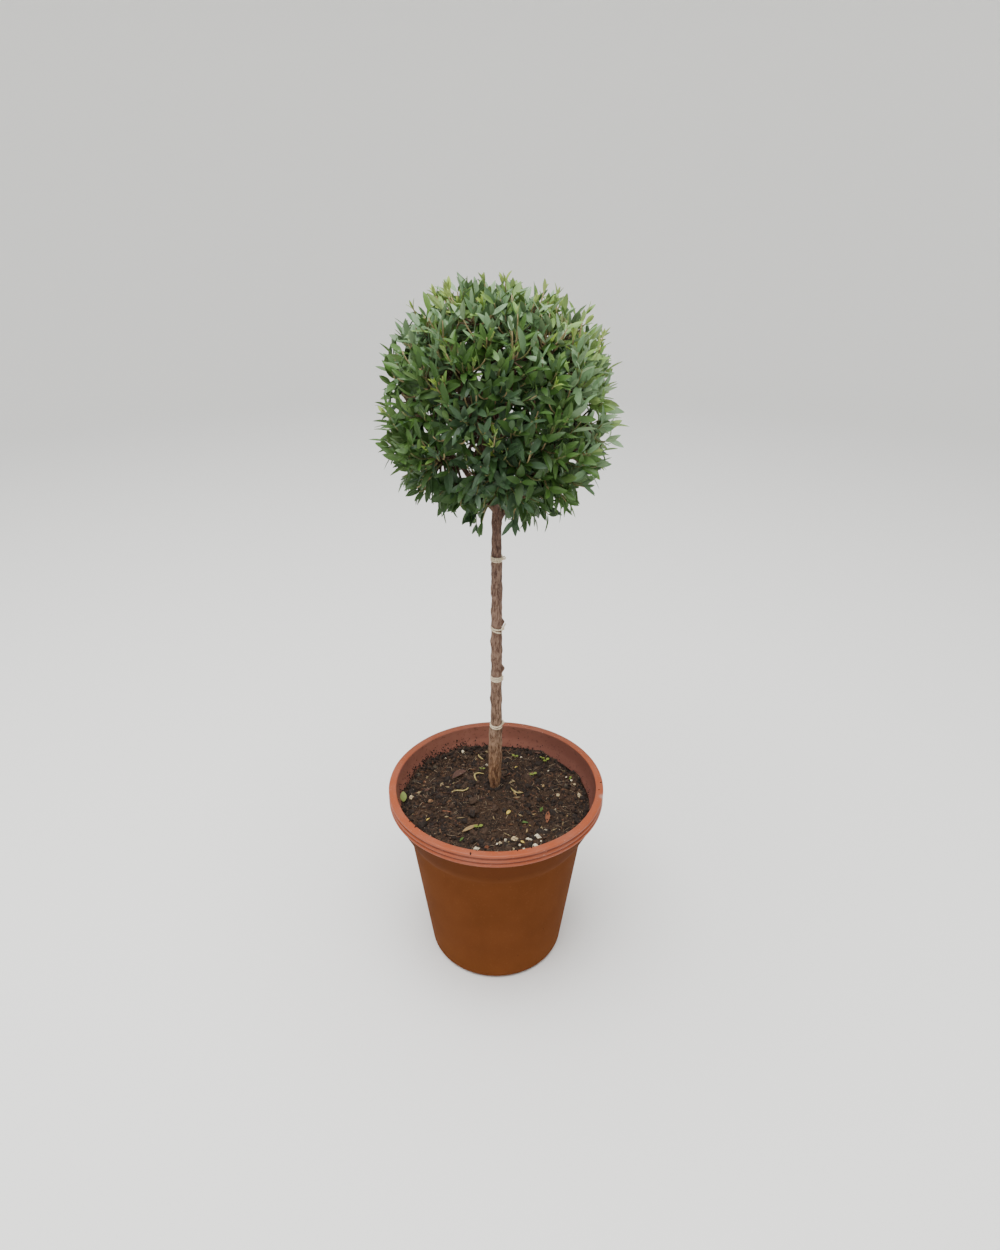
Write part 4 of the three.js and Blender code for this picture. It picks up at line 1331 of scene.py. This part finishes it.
def growTwigs():
    dice = np.random.default_rng(twigRule["seed"])
    shares = np.array(twigRule["forkShares"])
    forks = np.array([bend(*shoot["curve"], shares) for shoot in shoots])
    heads = unit(np.array([bend(*shoot["curve"], shares + 0.04) for shoot in shoots]) - forks)
    massOf = np.array([shoot["mass"] for shoot in shoots])
    aims = [evenAim(i, twigRule["count"], twigRule["lowest"]) for i in range(twigRule["count"])]
    twigs = []
    for aim in [*aims, *twigRule["extra"]]:
        aim = unit(aim + dice.normal(0, twigRule["wander"], 3))
        uneven = 1 + twigRule["unevenness"] * (min(dice.random(), 0.9) - 0.65)
        tip = crown["centre"] + aim * twigRule["reach"] * uneven * fullness(aim)
        offset = tip - forks
        reach = np.linalg.norm(offset, axis=2)
        forward = (offset * heads).sum(axis=2) / np.maximum(reach, 1e-6)
        cost = (reach + 0.05 * (massOf != nearestMass(tip))[:, None]
                + 0.06 * np.clip(0.5 - forward, 0, None) + 0.06 * (reach < 0.024))
        shoot, node = np.unravel_index(cost.argmin(), cost.shape)
        start, head, length = forks[shoot, node], heads[shoot, node], reach[shoot, node]
        rise = np.interp(aim[2], twigRule["risesAt"], twigRule["rises"])
        facing = unit(aim + up * rise + dice.normal(0, 0.16, 3))
        growing = isGrowing(dice, aim, tip)
        if growing:
            tip = tip + facing * twigRule["freshReach"]
        middle = between((start + head * length * 0.4, tip - facing * length * 0.6), twigRule["turning"])
        if closesGap(asSeen(bend(start, middle, tip, np.linspace(0.1, 1, 10)))):
            continue
        sunned = dice.random() < 0.3 + 0.6 * max(0.0, aim[2])
        twigs.append({
            "curve": (start, middle, tip), "aim": aim, "growing": growing, "turn": dice.random() * math.pi,
            "length": length, "stub": between(twigRule["stubs"], dice.random() ** 2),
            "colour": "Tan" if sunned or growing else "Olive"})
    return twigs


twigs = growTwigs()
print("crown:", len(masses), "masses,", len(shoots), "shoots,", len(twigs), "twigs")


def youngBark():  # smooth red-brown bark of the boughs
    material, tree, place = newMaterial("youngRedBark", roughness=0.7, ior=1.45)
    tint = addNode(tree, "ShaderNodeTexNoise", {"Scale": 1 / 0.006, "Detail": 3.0}, {"Vector": place})
    colour = addNode(tree, "ShaderNodeValToRGB", {}, {"Fac": tint}, [(0.35, "#422c20"), (0.65, "#6a4c3a")])
    return cover(material, colour, tint, 0.5, 0.0003)


def makeBoughs():
    material = youngBark()
    for mass in masses:
        if not mass["bough"]:
            continue
        curve = mass["bough"]
        length = float(np.linalg.norm(curve[2] - curve[0]))
        piece = makeLimb(
            f"bark_{mass['name']}",
            lambda share: bend(*curve, share),
            lambda share: between(mass["radii"], share) * (1 + 3 * np.clip(0.12 - share, 0, None)),
            lambda share, turn, radius: 0.45 * barkRelief(share * length, turn, radius),
            20, (9, 4), (0, 0, 1))
        settle(piece, "young_bark", [material], f"bough_{mass['name']}")
        roundSmooth(piece, 70)


def makeTwigs():
    foliage = [f"foliage_{mass['name']}" for mass in masses]
    shares = np.linspace(0, 1, 12)
    parts = []
    stemRadii = [(mass["radii"][1], twigRule["stemTip"]) for mass in masses]
    for curves, radii, sides in (
            ([mass["stem"] for mass in masses], stemRadii, 9),
            ([shoot["curve"] for shoot in shoots], [twigRule["shootRadii"]] * len(shoots), 7)):
        paths = np.array([bend(*curve, shares) for curve in curves])
        tubes = tubeCorners(paths, np.array([between(pair, shares) for pair in radii]), sides)
        parts += [(corners, tubeFaces(len(shares), sides)) for corners in tubes]
    woody = joinedParts("woodyTwigs", parts)
    look = faintlyUneven("woodyTwig", "#5a4431", 0.7, 1.45, 0.004, 0.25)  # year-old, red-brown
    roundSmooth(settle(woody, "young_bark", [look], *foliage), 80)

    # last year's growth is brown, and this year's goes on from it olive, or tan where it is high in the sun
    brown = faintlyUneven("ripenedTwig", "#57442f", 0.7, 1.45, 0.006, 0.22)
    steps, sides = twigRule["steps"], twigRule["sides"]
    faces = tubeFaces(steps, sides)
    kinds = [int(min(corner for corner in face if corner < steps * sides) >= sides * twigRule["ripeSteps"])
             for face in faces]
    for name, colour in twigRule["colours"].items():
        some = [twig for twig in twigs if twig["colour"] == name]
        paths = np.array([
            bend(*twig["curve"], np.linspace(0, 1 + twig["stub"] / twig["length"], steps)) for twig in some])
        radii = np.tile(np.linspace(twigRule["baseRadius"], twigRule["tipRadius"], steps), (len(some), 1))
        young = joinedCopies(f"youngTwigs{name}", tubeCorners(paths, radii, sides), faces, kinds)
        look = faintlyUneven(f"youngTwig{name}", colour, 0.6, 1.45, 0.012, 0.2)
        roundSmooth(settle(young, "young_bark", [brown, look], *foliage), 80)


makeBoughs()
makeTwigs()
print("boughs and twigs")

# Leaves: crossing pairs up each twig, dealt out by spray in eight plain colours, with light and shade painted
# in by place.
leaf = {
    "seed": 11,
    "outerSpacing": (0.0105, 0.0165),
    "innerSpacing": (0.0075, 0.0105),
    "firstShare": 0.18,
    "length": (0.0205, 0.0305),
    "slimness": (0.255, 0.345),
    "angles": (30, 80),
    "angleSpread": 12,
    "fold": (0.1, 0.42),
    "droop": (0.02, 0.24),
    "missing": 0.13,
    "youngAngles": (14, 25, 36, 46),
    "youngLengths": (0.52, 0.72, 0.88, 1.0),
    "youngColours": (
        ("Young", "Young", "Fresh", "Fresh"), ("Young", "Fresh", "Fresh", "Sage"),
        ("Fresh", "Fresh", "Sage", "Mid")),
    "budLength": (0.007, 0.011),
    "budFoot": 0.002,
    "shootShares": (0.5, 0.62, 0.74, 0.86),  # where the shoots themselves carry leaves
    "trunkClearance": 0.004,
    "gapMargin": 0.0015,
    "farthestBack": 0.1525,
    "roll": 0.3,
    "lights": (0.3, 1.5),  # how far a blade turns to the light: upright twigs, and more on hanging ones
    "colours": {  # upper side and underside; Sage and Pale hold a painted sky sheen, and Deep, for the inner leaves, is painted lighter against the shade inside the crown
        "Deep": ("#3f5e32", "#5e784a"),
        "Dark": ("#324d1f", "#526c3b"),
        "Blue": ("#354d31", "#526a49"),
        "Mid": ("#416027", "#5f7b43"),
        "Sage": ("#5b7751", "#778f69"),
        "Pale": ("#7a956f", "#90a87f"),
        "Fresh": ("#6b8a46", "#87a05e"),
        "Young": ("#8da64a", "#a2b56a"),
    },
}


# One leaf: its foot, its twig's direction, the side it leaves on, and how far it opens, in degrees.
def newLeaf(dice, aim, base, along, out, degrees, length, slimness, fold):
    opening = math.radians(degrees)
    direction = along * math.cos(opening) + out * math.sin(opening)
    least, most = leaf["lights"]
    light = unit(up * 0.8 + aim * 0.6) * (least + most * max(0.0, -along[2]))  # its face turns to the light
    face = unit(along * math.sin(opening) - out * math.cos(opening) + light)
    across = unit(np.cross(face, direction))
    across = unit(across + np.cross(direction, across) * dice.normal(0, leaf["roll"]))
    normal, droop = np.cross(direction, across), dice.uniform(*leaf["droop"])
    return base, direction, across, normal, length, length * slimness, fold, droop


# A place on a twig or shoot, its direction there, and how to point out from it at a turn.
def twigFrame(curve, share):
    along = unit(bend(*curve, share + 0.02) - bend(*curve, share - 0.02))
    side = unit(np.cross(along, up + [0.01, 0.02, 0]))
    back = np.cross(side, along)
    return bend(*curve, share), along, lambda turn: side * math.cos(turn) + back * math.sin(turn)


# The nodes up a twig, from its tip down: far apart on this year's growth, close on the older.
def leafNodes(dice, length):
    distance, nodes = 0.0, []
    while distance < length * (1 - leaf["firstShare"]):
        nodes.append(1 - distance / length)
        distance += dice.uniform(*leaf["outerSpacing" if len(nodes) < 3 else "innerSpacing"])
    return nodes


# The plain colour of a spray's leaves, with painted light: lighter the higher it stands, for the light and sky
# sheen from above, lighter out at the sides, more on the right, for the glow of the bright background, and
# lighter at the tips and darker further in, for shade; its tone differs at random.
def colourWithPaintedLight(dice, order, tone, aim):
    paintedSideGlow = 1.2 if aim[0] > 0 else 0.5
    paintedLightness = 0.42 * tone + 1.3 * max(0.0, aim[2] - 0.25) + paintedSideGlow * aim[0] ** 2 - 0.07 * order
    if paintedLightness > 1.0:
        return "Pale" if dice.random() < 0.45 else "Fresh"
    for least, name in ((0.72, "Sage"), (0.5, "Mid"), (0.26, "Dark")):
        if paintedLightness > least:
            return name
    return "Blue" if order < 3 else "Deep"


def leafSize(dice):
    return [dice.uniform(*leaf[name]) for name in ("length", "slimness", "fold")]


def twigLeaves(dice, twig, leaves):
    aim, growing, tone = twig["aim"], twig["growing"], dice.random()
    for order, share in enumerate(leafNodes(dice, twig["length"])):
        base, along, outAt = twigFrame(twig["curve"], share)
        for half in (0, 1):
            if order > 1 and dice.random() < leaf["missing"]:
                continue
            out = outAt(twig["turn"] + (order / 2 + half) * math.pi + dice.normal(0, 0.16))
            length, slimness, fold = leafSize(dice)
            degrees = between(leaf["angles"], min(1, order / 4)) + dice.normal(0, leaf["angleSpread"])
            colour = colourWithPaintedLight(dice, order, tone, aim)
            if growing and order < 4:
                degrees = leaf["youngAngles"][order] + dice.normal(0, 5)
                length, slimness, fold = length * leaf["youngLengths"][order], slimness * 0.95, fold + 0.1
                colour = leaf["youngColours"][int(tone * 3)][order]
            elif order == 0:
                length *= 0.74
            leaves[colour].append(newLeaf(dice, aim, base, along, out, degrees, length, slimness, fold))
        if growing and order == 0:  # a bud of two tiny leaves ends the spray
            for half in (0, 1):
                out, length = outAt(twig["turn"] + (0.5 + half) * math.pi), dice.uniform(*leaf["budLength"])
                foot = base + along * leaf["budFoot"]
                leaves["Young"].append(newLeaf(dice, aim, foot, along, out, 9, length, 0.26, 0.6))


def growLeaves():
    dice = np.random.default_rng(leaf["seed"])
    leaves = {name: [] for name in leaf["colours"]}
    for twig in twigs:
        twigLeaves(dice, twig, leaves)
    for shoot in shoots:
        for share in leaf["shootShares"]:
            base, along, outAt = twigFrame(shoot["curve"], share)
            for half in (0, 1):
                out = outAt(shoot["turn"] + (share * 8 + half) * math.pi + dice.normal(0, 0.3))
                degrees = 62 + dice.normal(0, 9)
                leaves["Deep"].append(newLeaf(dice, unit(along), base, along, out, degrees, *leafSize(dice)))
    return leaves


# Leaves that would meet the stem, reach too far back, or close a gap where the sky shows are skipped.
def openLeaves(leaves):
    corners = bladeCorners(leaves)
    fromStem = np.linalg.norm(corners[:, :, :2] - stemCentre(0.7)[:2], axis=2).min(axis=1)
    skip = (fromStem < leaf["trunkClearance"]) & (corners[:, :, 2].min(axis=1) < 0.76)
    skip |= corners[:, :, 1].max(axis=1) > leaf["farthestBack"]
    seen = asSeen(np.concatenate([corners[:, 3::4], corners[:, -1:]], axis=1))  # along their midribs
    for right, rise, radius in skyGaps:
        skip |= np.linalg.norm(seen - [right, rise], axis=2).min(axis=1) < radius + leaf["gapMargin"]
    middle, half, top = bareStem
    skip |= ((np.abs(seen[..., 0] - middle) < half) & (seen[..., 1] < top)).any(axis=1)
    return [each for each, skipped in zip(leaves, skip) if not skipped]


def makeLeaves():
    faces, kinds = bladeFaces()
    for name, leaves in growLeaves().items():
        leaves = openLeaves(leaves)
        piece = joinedCopies(f"leaves{name}", bladeCorners(leaves), faces, kinds)
        upper, under = leaf["colours"][name]  # leathery blades: waxy and glossy above, paler and matt below
        materials = [faintlyUneven(f"waxyLeaf{name}", upper, 0.45, 1.47, 0.010, 0.14, 0.35),
                     faintlyUneven(f"leafUnderside{name}", under, 0.62, 1.42, 0.010, 0.1, 0.3)]
        settle(piece, "leaves", materials, *[f"foliage_{mass['name']}" for mass in masses])
        roundSmooth(piece, 18)
        print("leaves", name, len(leaves))


makeLeaves()
